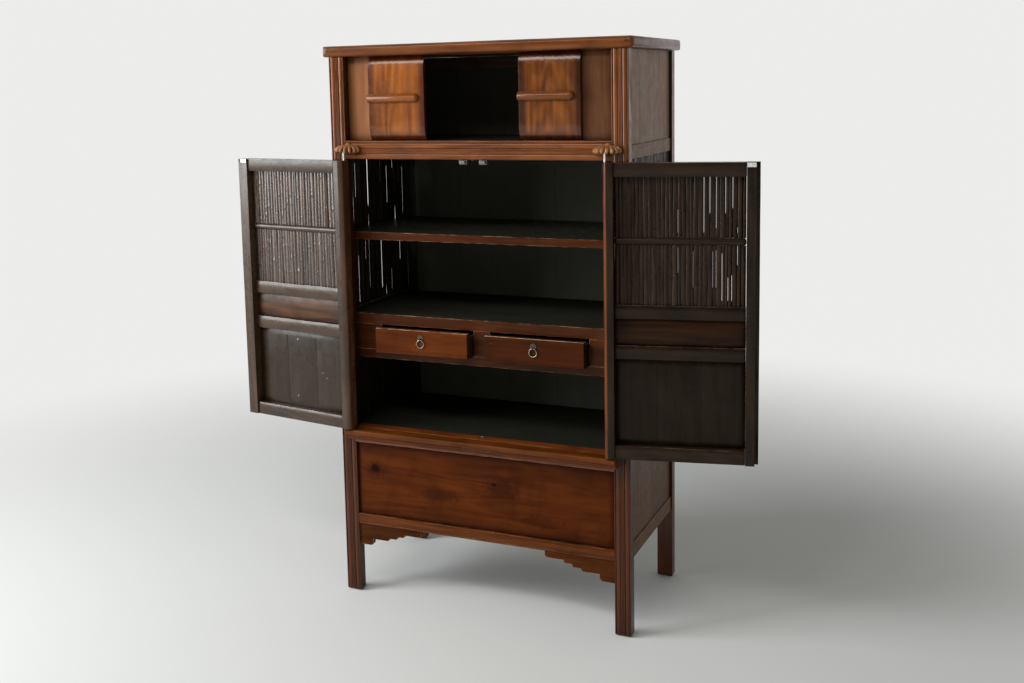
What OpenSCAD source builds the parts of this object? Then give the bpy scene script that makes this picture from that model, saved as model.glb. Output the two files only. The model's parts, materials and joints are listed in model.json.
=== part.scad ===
// Two-part display cabinet: sliding doors above, pivot-hung slatted doors below,
// a shelf and two drawers inside, and a plain panelled base on four straight legs.
// X runs across the front, +Y to the back, +Z up. The doors, drawers and sliding doors stand as found open.

/* [Cabinet] */
// Width over the posts
cabinet_w = 950; // [860:10:1040]
// Depth over the posts
cabinet_d = 488; // [440:4:560]
// Width of a post, seen from the front
post_w = 50; // [46:1:56]
// Depth of a post, seen from the side
post_d = 30; // [28:1:38]
// Radius on the lower corners of the feet
foot_round = 10; // [4:1:12]
// Depth of the reeding on posts and rails
reed_h = 2.5; // [1.5:0.1:3]

/* [Heights] */
// Clear height under the lower rail
leg_h = 227; // [190:1:260]
// Height of the lower front rail
lower_rail_h = 33; // [28:1:40]
// Height of the lower front panel
lower_panel_h = 236; // [180:1:280]
// Height of the sill rail
sill_h = 50; // [44:1:58]
// Height of the doorway
doorway_h = 843; // [820:1:900]
// Height of the reeded middle rail
mid_rail_h = 56; // [50:1:64]
// Height of the upper compartment
upper_h = 253; // [230:1:280]
// Thickness of the top board
top_t = 34; // [28:1:40]

/* [Top board] */
// Overhang of the top board at the front
top_front = 12; // [6:1:24]
// Overhang of the top board at each side
top_side = 18; // [10:1:26]
// Overhang of the top board at the back
top_back = 15; // [4:1:22]
// Radius along the edges of the top board
top_round = 12; // [6:1:13]
// Radius of the corners of the top board, seen from above
top_corner = 16; // [8:1:30]

/* [Rails and panels] */
// Depth of the front middle rail and of the sill rail
front_rail_d = 40; // [38:1:46]
// Recess of the side and back rails from the faces of the posts
rail_recess = 5; // [3:1:8]
// Thickness of the side rails
side_rail_t = 22; // [20:1:26]
// Height of the upper side rail
side_rail_h = 39; // [34:1:46]
// Height of the low side and back rails
low_rail_h = 45; // [36:1:54]
// Recess of the side panels from the outer faces of the posts
panel_recess = 9; // [8:1:10]
// Thickness of the side, back and front panels
panel_t = 10; // [8:0.5:11]
// Recess of the lower front panel
front_panel_recess = 8; // [5:1:12]
// Boards in a side panel
side_board_count = 4; // [2:1:6]
// Boards across the back
back_board_count = 5; // [3:1:8]
// Length of a front or back tenon
tenon_l = 20; // [12:1:24]
// Length of a side tenon
side_tenon_l = 16; // [10:1:20]
// Thickness of every tenon
tenon_t = 10; // [8:1:10]
// Shoulder above and below a tenon
tenon_shoulder = 8; // [5:1:9]

/* [Sill moulding and aprons] */
// Projection of the sill moulding in front of the posts
sill_out = 45; // [42:1:54]
// Height of the sill moulding
moulding_h = 35; // [32:1:42]
// How far the sill moulding covers each post
moulding_over = 15; // [8:1:22]
// Thickness of the apron brackets
apron_t = 14; // [10:1:18]
// Recess of the apron brackets from the front of the posts
apron_recess = 6; // [3:1:10]

/* [Interior] */
// Clear height under the drawer unit
under_drawers_h = 216; // [200:1:240]
// Height of the rail under the drawers
drawer_rail_h = 28; // [22:1:34]
// Height of the drawer openings
drawer_opening_h = 80; // [72:1:90]
// Height of the rail over the drawers
unit_top_rail_h = 33; // [28:1:36]
// Clear height between the drawer unit and the shelf
above_drawers_h = 234; // [200:1:250]
// Thickness of the shelf
shelf_t = 24; // [20:1:30]
// Set-back of the shelf from the front of the posts
shelf_back = 35; // [32:1:60]
// Set-back of the drawer unit from the front of the posts
unit_back = 40; // [40:1:60]
// Thickness of the drawer unit's frame
unit_frame_t = 18; // [14:1:22]
// Thickness of the boards inside
board_t = 12; // [10:1:16]
// Width of the post between the drawers
divider_w = 54; // [40:1:70]
// Width of a drawer opening
drawer_opening_w = 314; // [260:1:330]

/* [Drawers] */
// Gap at each side of a drawer
drawer_gap = 2; // [1:0.5:3]
// Gap above and below a drawer front
drawer_gap_z = 1.5; // [1:0.5:3]
// Running gap under a drawer
drawer_run_gap = 0.4; // [0.3:0.1:1]
// Thickness of a drawer front
drawer_front_t = 18; // [14:1:22]
// Length of a drawer over all
drawer_l = 330; // [280:5:350]
// Thickness of a drawer's sides and back
drawer_side_t = 10; // [8:1:12]
// Height of a drawer's sides
drawer_side_h = 66; // [50:1:68]
// Thickness of a drawer's bottom
drawer_bottom_t = 6; // [4:1:8]
// How far the drawers stand open
drawer_out = 44.5; // [0:0.5:45]
// Height of the pull's plate over the bottom of the opening
pull_z = 56; // [44:1:60]
// Radius of the pull's plate
pull_plate_r = 10; // [8:0.5:12]
// Thickness of the pull's plate
pull_plate_t = 1.5; // [1:0.1:2]
// Radius of the ring, to the middle of its wire
ring_r = 12; // [10:0.5:14]
// Radius of the ring's wire
ring_wire_r = 1.6; // [1.2:0.1:2]

/* [Pivot doors] */
// Distance of the pivot from the outer face of the post
pivot_in = 60; // [58:1:66]
// Distance of the pivot in front of the posts
pivot_out = 30; // [28:1:34]
// Radius of the pivot pins
pin_r = 3; // [2.5:0.1:3.5]
// Thickness of a door
door_t = 38; // [34:1:40]
// From the pivot to the inner face of a door
door_in = 24; // [22:1:25]
// Gap under a door
door_gap_low = 3; // [2:0.5:5]
// Gap between the top of a door and the middle rail
door_gap_top = 2; // [1:0.5:5]
// Width of a door beyond its pivot
hinge_edge = 5; // [4.5:0.5:6]
// Width of the hinge stile
hinge_stile_w = 29; // [24:1:36]
// Width of the free stile
free_stile_w = 36; // [32:1:38]
// Overlap of the two free stiles
lap_w = 10; // [6:1:12]
// Gap in the overlap
lap_gap = 2; // [1.5:0.5:3]
// Height of the four main rails of a door
door_rail_h = 39; // [32:1:44]
// Height of the thin rail between the slatted windows
thin_rail_h = 20; // [14:1:26]
// Height of the narrow panel
narrow_panel_h = 76; // [60:1:90]
// Height of the large panel
large_panel_h = 248; // [200:1:270]
// Thickness of the top and bottom rails of a door
end_rail_t = 32; // [26:1:33]
// Thickness of the other rails of a door
middle_rail_t = 20; // [16:1:20]
// Slats across a door
door_slat_count = 27; // [18:1:34]
// Slats across a side of the cabinet
side_slat_count = 32; // [20:1:38]
// Thickness of a slat
slat_t = 5; // [4:0.5:6]
// Angle by which the left door stands open
left_door_angle = 189; // [0:1:192]
// Angle by which the right door stands open
right_door_angle = 191; // [0:1:192]
// Height of the lotus brackets
bracket_h = 34; // [28:1:38]
// Radius of the lotus brackets, seen from above
bracket_r = 44; // [40:1:46]
// Lobes round a whole lotus bracket
lobe_count = 16; // [12:1:20]

/* [Sliding doors] */
// Width of a sliding door
slider_w = 187; // [180:1:200]
// Distance of the left sliding door from the middle
left_slider_out = 159; // [0:1:230]
// Distance of the right sliding door from the middle
right_slider_out = 144; // [0:1:230]
// Thickness of a sliding door at its middle
slider_t = 14; // [12:1:15]
// How far the face of a sliding door bulges
slider_bulge = 8; // [4:1:9]
// Thickness of the tongues that run in the grooves
tongue_t = 6; // [5:0.5:7]
// Running gap beside a tongue
tongue_gap = 0.5; // [0.3:0.1:0.8]
// Depth of the grooves
groove_h = 7; // [5:0.5:8]
// Length of a handle bar
bar_l = 170; // [140:1:176]
// Radius of a handle bar
bar_r = 13.5; // [10:0.5:15]
// How far a fixed panel reaches from the middle
fixed_panel_in = 175; // [165:1:178]

/* [Hidden] */
$fn = 64;

// The origin lies under the middle of the whole cabinet with its doors open, so its front is at front_y
front_y = -224;

// Levels from the floor up
z_panel = leg_h + lower_rail_h;
z_sill = z_panel + lower_panel_h;
z_doorway = z_sill + sill_h;
z_mid = z_doorway + doorway_h;
z_upper = z_mid + mid_rail_h;
z_top = z_upper + upper_h;
z_unit = z_doorway + under_drawers_h;
z_drawer = z_unit + drawer_rail_h;
z_unit_rail = z_drawer + drawer_opening_h;
z_unit_top = z_unit_rail + unit_top_rail_h;
z_shelf = z_unit_top + above_drawers_h;

// Planes across and back
half_w = cabinet_w / 2;
half_in = half_w - post_w;
rear_y = cabinet_d - post_d;
rail_out_x = half_w - rail_recess;
rail_in_x = rail_out_x - side_rail_t;
panel_out_x = half_w - panel_recess;
panel_in_x = panel_out_x - panel_t;

// Rails as [lower edge, height]
side_mid_drop = 15;
side_level_h = 35;
side_level_over = 12;
low_rail_lift = 2;
z_low_rail = leg_h + low_rail_lift;
z_side_mid = z_upper - side_mid_drop - side_rail_h;
z_side_level = z_unit_top + side_level_over - side_level_h;
floor_drop = 6;
z_floor = z_doorway - floor_drop - board_t;
back_mid_h = 39;
board_gap = 0.4;
joint_gap = 0.2;
front_rail_levels = [[leg_h, lower_rail_h], [z_sill, sill_h], [z_mid, mid_rail_h]];
side_rail_levels = [
    [z_low_rail, low_rail_h], [z_side_level, side_level_h], [z_shelf, shelf_t], [z_side_mid, side_rail_h]
];
back_rail_levels = [
    [z_low_rail, low_rail_h], [z_floor - back_mid_h, back_mid_h], [z_side_mid, side_rail_h],
    [z_top - back_mid_h, back_mid_h]
];
tenon_y = 10;
tenon_gap = 0.2;
tenon_end_gap = 1;
side_tenon_in = 5;
side_tenon_x = rail_out_x - tenon_gap - tenon_t - side_tenon_in;

// Reeding, as the widths of its bands
edge_bead = 4;
fine_reed = 4;
fine_reed_count = 3;
crown_share = 0.35;
reed_flat = 0.15;
post_band = (post_w - 2 * edge_bead - fine_reed_count * fine_reed) / 2;
post_bands = [edge_bead, post_band, fine_reed, fine_reed, fine_reed, post_band, edge_bead];
top_bead = 7;
line_bead = 3;
mid_band = (mid_rail_h - top_bead - line_bead - fine_reed_count * fine_reed) / 2;
mid_bands = [mid_band, line_bead, fine_reed, fine_reed, fine_reed, mid_band, top_bead];
lower_bead = 5;
lower_bands = [lower_bead, lower_rail_h - 2 * lower_bead, lower_bead];

// Doors, measured along a door from its pivot, and from its pivot towards the inside
pivot_x = half_w - pivot_in;
door_out = door_in - door_t;
door_reach = pivot_x + (lap_w - lap_gap) / 2;
door_low = z_doorway + door_gap_low;
door_high = z_mid - door_gap_top;
field_low = hinge_stile_w - hinge_edge;
field_high = door_reach - free_stile_w;
field_w = field_high - field_low;
rail_step = 1;
z_large = door_low + door_rail_h;
z_rail_3 = z_large + large_panel_h;
z_narrow = z_rail_3 + door_rail_h;
z_rail_2 = z_narrow + narrow_panel_h;
z_window_2 = z_rail_2 + door_rail_h;
window_h = (door_high - door_rail_h - z_window_2 - thin_rail_h) / 2;
z_thin = z_window_2 + window_h;
z_window_1 = z_thin + thin_rail_h;
z_top_rail = door_high - door_rail_h;
slat_step = 6;
slat_fill = 0.88;
slat_wander = 0.05;
slat_round = 0.6;
slat_inset = 2;
narrow_panel_step = 4;
large_panel_step = 3;
narrow_panel_t = 11;
large_panel_t = 8;
bevel_w = 20;
bevel_t = 4;
large_board_count = 3;
board_joint = 1;
pin_in_door = 25;
pin_in_seat = 12;
pin_end_gap = 0.5;
bore_gap = 0.05;
bracket_lift = 16;
z_bracket = z_mid + bracket_lift;
bracket_back = 2;
bracket_round = 13;
bracket_crease = 4;
strike_w = 24;
strike_h = 12;
strike_t = 1;
strike_in = 1;
screw_r = 2.5;
screw_h = 0.6;

// Catches under the middle rail, and the two staples for a door bolt
catch_in = 20;
catch_w = 24;
catch_h = 14;
catch_front = 6;
catch_back = 36;
magnet_inset = 3;
magnet_gap = 1;
magnet_y = -(pivot_out - door_in) + strike_t + magnet_gap;
staple_x = [-10, 4];
staple_y = 22;
staple_r = 3.5;
staple_wire = 1.2;

// Drawers and their pulls
drawer_w = drawer_opening_w - 2 * drawer_gap;
drawer_x = divider_w / 2 + drawer_opening_w / 2;
drawer_front_h = drawer_opening_h - 2 * drawer_gap_z;
bottom_lift = 6;
unit_top_t = 18;
guide_h = 20;
guide_w = 20;
eye_wire_r = 1.3;
eye_gap = 0.4;
eye_r = ring_wire_r + eye_gap + eye_wire_r;
eye_out = ring_wire_r + 1;
eye_drop = 6;

// Sliding doors and the fixed panels behind them
slider_back_y = 26;
slider_run_gap = 0.4;
slider_edge_gap = 1;
fixed_panel_y = slider_back_y + 3;
tongue_y = slider_back_y - tongue_t - 1;
bar_z = z_upper + upper_h / 2;
bar_sink = 0.4;

// Apron brackets, as [reach from the post, drop below the rail, corner radius]
apron_lobes = [[48, 70, 12], [105, 49, 9], [134, 40, 7], [160, 31, 8], [219, 22, 10]];

function sum_to(widths, count) = count == 0 ? 0 : widths[count - 1] + sum_to(widths, count - 1);
function crown(w) = min(reed_h, w * crown_share);
function arc_r(w, h) = (w * w / 4 + h * h) / (2 * h);

// A box from its low corner to its high corner
module block(low, high) {
    translate(low) cube(high - low);
}

// Places a piece of the cabinet, drawn with the fronts of the posts at Y 0
module in_cabinet() {
    translate([0, front_y, 0]) children();
}

// Draws a right-hand piece on the right, or mirrored on the left
module on_side(side) {
    if (side > 0) {
        children();
    } else {
        mirror([1, 0, 0]) children();
    }
}

module both_sides() {
    on_side(1) children();
    on_side(-1) children();
}

// Extrudes an outline drawn in Y and Z along X
module along_x(length) {
    rotate([90, 0, 90]) linear_extrude(length) children();
}

// Extrudes an outline drawn in X and Z along Y
module along_y(length) {
    translate([0, length, 0]) rotate([90, 0, 0]) linear_extrude(length) children();
}

module round_rect(w, h, r) {
    translate([r, 0]) square([w - 2 * r, h]);
    translate([0, r]) square([w, h - 2 * r]);
    for (x = [r, w - r], y = [r, h - r]) {
        translate([x, y]) circle(r);
    }
}

// Rounded bands stacked along +Y, facing -X, on a block of the given depth
module reeded_face(widths, depth) {
    for (i = [0 : len(widths) - 1]) {
        w = widths[i];
        h = crown(w);
        chord = w - 2 * reed_flat;
        r = arc_r(chord, h);
        translate([0, sum_to(widths, i)]) {
            translate([h, 0]) square([depth - h, w]);
            intersection() {
                translate([r, w / 2]) circle(r);
                translate([0, reed_flat]) square([h + reed_h, chord]);
            }
        }
    }
}

// Outline of a post seen flat on, with the lower corners rounded
module foot_outline(w) {
    translate([0, foot_round]) square([w, z_top]);
    translate([foot_round, 0]) square([w - 2 * foot_round, z_top]);
    for (x = [foot_round, w - foot_round]) {
        translate([x, foot_round]) circle(foot_round);
    }
}

// Keeps a right-hand post at y0 within its rounded foot
module foot_envelope(y0) {
    intersection() {
        translate([half_in, y0, 0]) along_y(post_d) foot_outline(post_w);
        translate([half_in, y0, 0]) along_x(post_w) foot_outline(post_d);
    }
}

// Tenon of a rail on the right, or its mortise when grown by the gap
module rail_tenon(level, y0, gap, end_gap) {
    low = level[0] + tenon_shoulder;
    high = level[0] + level[1] - tenon_shoulder;
    block([half_in - gap, y0 + tenon_y - gap, low - gap],
          [half_in + tenon_l + end_gap, y0 + tenon_y + tenon_t + gap, high + gap]);
}

// Tenon of a side rail into the post that starts or ends at y0, or its mortise
module side_tenon(level, y0, toward, gap, end_gap) {
    shoulder = min(tenon_shoulder, level[1] / 4);
    low = level[0] + shoulder;
    high = level[0] + level[1] - shoulder;
    root = y0 - toward * gap;
    tip = y0 + toward * (side_tenon_l + end_gap);
    block([side_tenon_x - gap, min(root, tip), low - gap],
          [side_tenon_x + tenon_t + gap, max(root, tip), high + gap]);
}

module top_board() {
    w = cabinet_w + 2 * top_side;
    d = cabinet_d + top_front + top_back;
    color([0.46, 0.2, 0.08]) in_cabinet() difference() {
        translate([-w / 2, -top_front, z_top]) intersection() {
            linear_extrude(top_t) round_rect(w, d, top_corner);
            along_x(w) round_rect(d, top_t, top_round);
            along_y(d) round_rect(w, top_t, top_round);
        }
        slider_groove(z_top - 1, z_top + groove_h);
    }
}

// Groove in which the sliding doors run, between the two heights
module slider_groove(low, high) {
    block([-half_in, tongue_y - tongue_gap, low],
          [half_in, tongue_y + tongue_t + tongue_gap, high]);
}

module front_post() {
    difference() {
        intersection() {
            translate([half_in, 0, 0]) linear_extrude(z_top)
                mirror([1, -1, 0]) reeded_face(post_bands, post_d);
            foot_envelope(0);
        }
        for (level = front_rail_levels) {
            rail_tenon(level, 0, tenon_gap, tenon_end_gap);
        }
        for (level = side_rail_levels) {
            side_tenon(level, post_d, -1, tenon_gap, tenon_end_gap);
        }
    }
}

module rear_post() {
    difference() {
        foot_envelope(rear_y);
        block([half_in - 1, rear_y - 1, z_top], [half_w + 1, cabinet_d + 1, z_top + foot_round + 1]);
        for (level = back_rail_levels) {
            rail_tenon(level, rear_y, tenon_gap, tenon_end_gap);
        }
        for (level = side_rail_levels) {
            side_tenon(level, rear_y, 1, tenon_gap, tenon_end_gap);
        }
    }
}

module front_post_left() {
    color([0.4, 0.17, 0.07]) in_cabinet() on_side(-1) front_post();
}

module front_post_right() {
    color([0.4, 0.17, 0.07]) in_cabinet() on_side(1) front_post();
}

module rear_posts() {
    color([0.33, 0.14, 0.06]) in_cabinet() both_sides() rear_post();
}

module front_mid_rail() {
    color([0.46, 0.2, 0.08]) in_cabinet() difference() {
        union() {
            translate([-half_in, 0, z_mid]) along_x(2 * half_in) reeded_face(mid_bands, front_rail_d);
            both_sides() rail_tenon([z_mid, mid_rail_h], 0, 0, 0);
        }
        slider_groove(z_upper - groove_h, z_upper + 1);
    }
}

module sill_rail() {
    color([0.36, 0.15, 0.06]) in_cabinet() {
        block([-half_in, 0, z_sill], [half_in, front_rail_d, z_doorway]);
        both_sides() rail_tenon([z_sill, sill_h], 0, 0, 0);
    }
}

// Section of the sill moulding, seen from the left: a flat nose, a bead and a hollow
module moulding_outline() {
    nose_h = 15;
    nose_r = 6;
    bead_r = 4.5;
    bead_set = 4;
    hollow_r = 14;
    translate([-sill_out, -nose_h]) {
        translate([nose_r, 0]) square([sill_out - nose_r, nose_h]);
        square([sill_out, nose_h - nose_r]);
        translate([nose_r, nose_h - nose_r]) circle(nose_r);
    }
    translate([-sill_out + bead_set + bead_r, -nose_h - bead_r]) circle(bead_r);
    translate([-sill_out + bead_set + bead_r, -nose_h - 2 * bead_r])
        square([sill_out - bead_set - bead_r, 2 * bead_r]);
    difference() {
        translate([-sill_out + bead_set + bead_r, -moulding_h])
            square([sill_out - bead_set - bead_r, moulding_h - nose_h - 2 * bead_r + 0.01]);
        translate([-sill_out + bead_set + bead_r, -moulding_h])
            circle(min(hollow_r, moulding_h - nose_h - 2 * bead_r));
    }
}

module sill_moulding() {
    reach = half_in + moulding_over;
    color([0.42, 0.17, 0.06]) in_cabinet() difference() {
        translate([-reach, 0, z_doorway]) along_x(2 * reach) moulding_outline();
        both_sides() translate([pivot_x, -pivot_out, z_doorway - pin_in_seat])
            cylinder(r = pin_r + bore_gap, h = pin_in_seat + 1);
    }
}

module lower_front_panel() {
    color([0.3, 0.12, 0.05]) in_cabinet()
        block([-half_in, front_panel_recess, z_panel], [half_in, front_panel_recess + panel_t, z_sill]);
}

module lower_front_rail() {
    color([0.36, 0.15, 0.06]) in_cabinet() {
        translate([-half_in, 0, leg_h]) along_x(2 * half_in) reeded_face(lower_bands, post_d);
        both_sides() rail_tenon([leg_h, lower_rail_h], 0, 0, 0);
    }
}

// One lobe of an apron, from the post and the rail to its rounded corner
module apron_lobe(reach, drop, r) {
    square([reach - r, drop]);
    square([reach, drop - r]);
    translate([reach - r, drop - r]) circle(r);
}

module apron_brackets() {
    color([0.28, 0.11, 0.05]) in_cabinet() both_sides()
        translate([half_in, apron_recess, leg_h]) along_y(apron_t) mirror([1, 0]) mirror([0, 1])
            for (lobe = apron_lobes) {
                apron_lobe(lobe[0], lobe[1], lobe[2]);
            }
}

// Half of a lobed bun against the post, with the bore for the upper pivot pin in its underside
module pivot_bracket() {
    difference() {
        translate([pivot_x, bracket_back, z_bracket]) difference() {
            rotate_extrude() intersection() {
                translate([-bracket_r, 0]) round_rect(2 * bracket_r, bracket_h, bracket_round);
                square([bracket_r, bracket_h]);
            }
            for (i = [0 : lobe_count / 2]) {
                rotate(180 + i * 360 / lobe_count) translate([bracket_r, 0, -1])
                    cylinder(r = bracket_crease, h = bracket_h + 2);
            }
        }
        block([pivot_x - 2 * bracket_r, 0, z_bracket - 1],
              [pivot_x + 2 * bracket_r, 2 * bracket_r, z_bracket + bracket_h + 1]);
        translate([pivot_x, -pivot_out, z_bracket - 1]) cylinder(r = pin_r + bore_gap, h = pin_in_seat + 1);
    }
}

module pivot_brackets() {
    color([0.4, 0.2, 0.1]) in_cabinet() both_sides() pivot_bracket();
}

module front_fixed_panels() {
    color([0.38, 0.17, 0.07]) in_cabinet() both_sides()
        block([fixed_panel_in, fixed_panel_y, z_upper], [half_in, fixed_panel_y + panel_t, z_top]);
}

module upper_floor() {
    low = z_side_mid + side_rail_h;
    color([0.16, 0.1, 0.07]) in_cabinet()
        block([-panel_in_x, front_rail_d, low], [panel_in_x, rear_y, low + board_t]);
}

module back_boards() {
    tiers = [for (i = [0 : len(back_rail_levels) - 2])
        [back_rail_levels[i][0] + back_rail_levels[i][1], back_rail_levels[i + 1][0]]];
    board_w = 2 * half_in / back_board_count;
    color([0.15, 0.09, 0.06]) in_cabinet()
        for (tier = tiers, i = [0 : back_board_count - 1]) {
            block([-half_in + i * board_w, rear_y, tier[0]],
                  [-half_in + (i + 1) * board_w - board_gap, rear_y + panel_t, tier[1]]);
        }
}

module back_rails() {
    color([0.2, 0.1, 0.06]) in_cabinet()
        for (level = back_rail_levels) {
            block([-half_in, rear_y, level[0]], [half_in, cabinet_d - rail_recess, level[0] + level[1]]);
            both_sides() rail_tenon(level, rear_y, 0, 0);
        }
}

module side_upper_panels() {
    board_w = (rear_y - post_d) / side_board_count;
    color([0.3, 0.17, 0.12]) in_cabinet() both_sides()
        for (i = [0 : side_board_count - 1]) {
            block([panel_in_x, post_d + i * board_w, z_side_mid + side_rail_h],
                  [panel_out_x, post_d + (i + 1) * board_w - board_gap, z_top]);
        }
}

module side_rails() {
    color([0.33, 0.16, 0.1]) in_cabinet() both_sides()
        for (level = side_rail_levels) {
            block([rail_in_x, post_d, level[0]], [rail_out_x, rear_y, level[0] + level[1]]);
            side_tenon(level, post_d, -1, 0, 0);
            side_tenon(level, rear_y, 1, 0, 0);
        }
}

// Split canes standing side by side along X, their round faces towards +Y, each a little off its place
module slat_row(length, count, height) {
    pitch = length / count;
    linear_extrude(height)
        for (i = [0 : count - 1]) {
            w = pitch * (slat_fill + slat_wander * sin(i * 77));
            r = arc_r(w, slat_t * slat_round);
            translate([pitch * (i + 0.5 + 0.5 * slat_wander * sin(i * 131)), 0]) intersection() {
                translate([0, slat_t - r]) circle(r);
                translate([-w / 2, 0]) square([w, slat_t]);
            }
        }
}

// Slats of a side's two windows, with their round faces inwards
module side_slats() {
    x = panel_out_x - slat_inset;
    tiers = [for (i = [1, 2])
        [side_rail_levels[i][0] + side_rail_levels[i][1], side_rail_levels[i + 1][0]]];
    for (tier = tiers) {
        translate([x, post_d, tier[0]]) rotate([0, 0, 90])
            slat_row(rear_y - post_d, side_slat_count, tier[1] - tier[0]);
    }
}

module side_slats_left() {
    color([0.2, 0.12, 0.08]) in_cabinet() on_side(-1) side_slats();
}

module side_slats_right() {
    color([0.2, 0.12, 0.08]) in_cabinet() on_side(1) side_slats();
}

module side_lower_panels() {
    board_w = (rear_y - post_d) / side_board_count;
    color([0.3, 0.17, 0.12]) in_cabinet() both_sides()
        for (i = [0 : side_board_count - 1]) {
            block([panel_in_x, post_d + i * board_w, z_low_rail + low_rail_h],
                  [panel_out_x, post_d + (i + 1) * board_w - board_gap, z_side_level]);
        }
}

module shelf() {
    color([0.32, 0.14, 0.06]) in_cabinet()
        block([-rail_in_x, shelf_back, z_shelf], [rail_in_x, rear_y, z_shelf + shelf_t]);
}

module drawer_unit_top() {
    color([0.2, 0.1, 0.06]) in_cabinet()
        block([-rail_in_x, unit_back + unit_frame_t, z_unit_top - unit_top_t],
              [rail_in_x, rear_y, z_unit_top]);
}

module drawer_unit_frame() {
    y0 = unit_back;
    y1 = unit_back + unit_frame_t;
    opening_end = divider_w / 2 + drawer_opening_w;
    color([0.34, 0.14, 0.06]) in_cabinet() {
        block([-rail_in_x, y0, z_unit], [rail_in_x, y1, z_drawer]);
        block([-rail_in_x, y0, z_unit_rail], [rail_in_x, y1, z_unit_top]);
        block([-divider_w / 2, y0, z_drawer + joint_gap], [divider_w / 2, y1, z_unit_rail - joint_gap]);
        both_sides() block([opening_end, y0, z_drawer + joint_gap], [rail_in_x, y1, z_unit_rail - joint_gap]);
    }
}

// Floor of the drawer unit, with the strips that guide the drawers
module drawer_unit_floor() {
    y0 = unit_back + unit_frame_t;
    opening_end = divider_w / 2 + drawer_opening_w;
    color([0.2, 0.1, 0.06]) in_cabinet() {
        block([-panel_in_x, y0, z_drawer - board_t], [panel_in_x, rear_y, z_drawer]);
        block([-divider_w / 2, y0, z_drawer + joint_gap], [divider_w / 2, rear_y, z_drawer + guide_h]);
        both_sides()
            block([opening_end, y0, z_drawer + joint_gap],
                  [opening_end + guide_w, rear_y, z_drawer + guide_h]);
    }
}

module floor_board() {
    color([0.12, 0.08, 0.06]) in_cabinet()
        block([-panel_in_x, front_rail_d, z_floor], [panel_in_x, rear_y, z_floor + board_t]);
}

module bottom_board() {
    color([0.16, 0.1, 0.07]) in_cabinet()
        block([-rail_in_x, post_d, z_low_rail + board_t], [rail_in_x, rear_y, z_low_rail + 2 * board_t]);
}

// Two magnetic catches under the middle rail and two small staples for a bolt
module door_catches() {
    color([0.55, 0.55, 0.53]) in_cabinet() {
        both_sides() {
            block([catch_in, catch_front, z_mid - catch_h], [catch_in + catch_w, catch_back, z_mid]);
            block([catch_in + magnet_inset, magnet_y, z_mid - catch_h + magnet_inset],
                  [catch_in + catch_w - magnet_inset, catch_front, z_mid - magnet_inset]);
        }
        translate([staple_x[0], staple_y, z_mid]) rotate([-90, 0, 0]) rotate_extrude(angle = 180)
            translate([staple_r, 0]) circle(staple_wire);
        translate([staple_x[1], staple_y, z_doorway]) rotate([90, 0, 0]) rotate_extrude(angle = 180)
            translate([staple_r, 0]) circle(staple_wire);
    }
}

// Places a piece of a door, drawn along +X from the pivot with its inner face towards +Y
module in_door(side) {
    angle = side < 0 ? left_door_angle : right_door_angle;
    in_cabinet() translate([side * pivot_x, -pivot_out, 0])
        rotate([0, 0, side * angle]) on_side(-side) children();
}

module hinge_stile() {
    difference() {
        block([-hinge_edge, door_out, door_low], [field_low, door_in, door_high]);
        translate([0, 0, door_low - 1]) cylinder(r = pin_r, h = pin_in_door + 1);
        translate([0, 0, door_high - pin_in_door]) cylinder(r = pin_r, h = pin_in_door + 1);
    }
}

// Free stile, rebated at its outer half on the left door and at its inner half on the right door
module free_stile(side) {
    middle = (door_in + door_out) / 2;
    difference() {
        block([field_high, door_out, door_low], [door_reach, door_in, door_high]);
        if (side < 0) {
            block([door_reach - lap_w, door_out - 1, door_low - 1],
                  [door_reach + 1, middle + lap_gap / 2, door_high + 1]);
        } else {
            block([door_reach - lap_w, middle - lap_gap / 2, door_low - 1],
                  [door_reach + 1, door_in + 1, door_high + 1]);
        }
    }
}

module door_rails() {
    y0 = door_out + rail_step;
    for (z = [door_low, z_top_rail]) {
        block([field_low, y0, z], [field_high, y0 + end_rail_t, z + door_rail_h]);
    }
    for (z = [z_rail_3, z_rail_2]) {
        block([field_low, y0, z], [field_high, y0 + middle_rail_t, z + door_rail_h]);
    }
}

// Thin rail with a rounded inner edge
module thin_rail() {
    y0 = door_out + rail_step;
    r = thin_rail_h / 2;
    translate([field_low, 0, z_thin]) along_x(field_w) {
        translate([y0, 0]) square([middle_rail_t - r, thin_rail_h]);
        intersection() {
            translate([y0 + middle_rail_t - r, r]) circle(r);
            translate([y0, 0]) square([middle_rail_t, thin_rail_h]);
        }
    }
}

module door_slats() {
    for (z = [z_window_2, z_window_1]) {
        translate([field_low, door_out + slat_step, z]) slat_row(field_w, door_slat_count, window_h);
    }
}

// Panel with its inner face bevelled all round
module raised_panel(low, high, y0, t) {
    h = high - low;
    intersection() {
        translate([field_low, 0, low]) along_x(field_w)
            polygon([[y0, 0], [y0 + t - bevel_t, 0], [y0 + t, bevel_w],
                     [y0 + t, h - bevel_w], [y0 + t - bevel_t, h], [y0, h]]);
        translate([field_low, 0, low]) linear_extrude(h)
            polygon([[0, y0], [0, y0 + t - bevel_t], [bevel_w, y0 + t], [field_w - bevel_w, y0 + t],
                     [field_w, y0 + t - bevel_t], [field_w, y0]]);
    }
}

module narrow_panel() {
    raised_panel(z_narrow, z_narrow + narrow_panel_h, door_out + narrow_panel_step, narrow_panel_t);
}

// Large panel of three boards, with a fine groove at each joint
module large_panel() {
    y0 = door_out + large_panel_step;
    difference() {
        raised_panel(z_large, z_large + large_panel_h, y0, large_panel_t);
        for (i = [1 : large_board_count - 1]) {
            x = field_low + field_w * i / large_board_count;
            translate([x, y0 + large_panel_t, z_large - 1]) linear_extrude(large_panel_h + 2)
                polygon([[-board_joint, 0.1], [board_joint, 0.1], [0, -board_joint]]);
        }
    }
}

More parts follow.
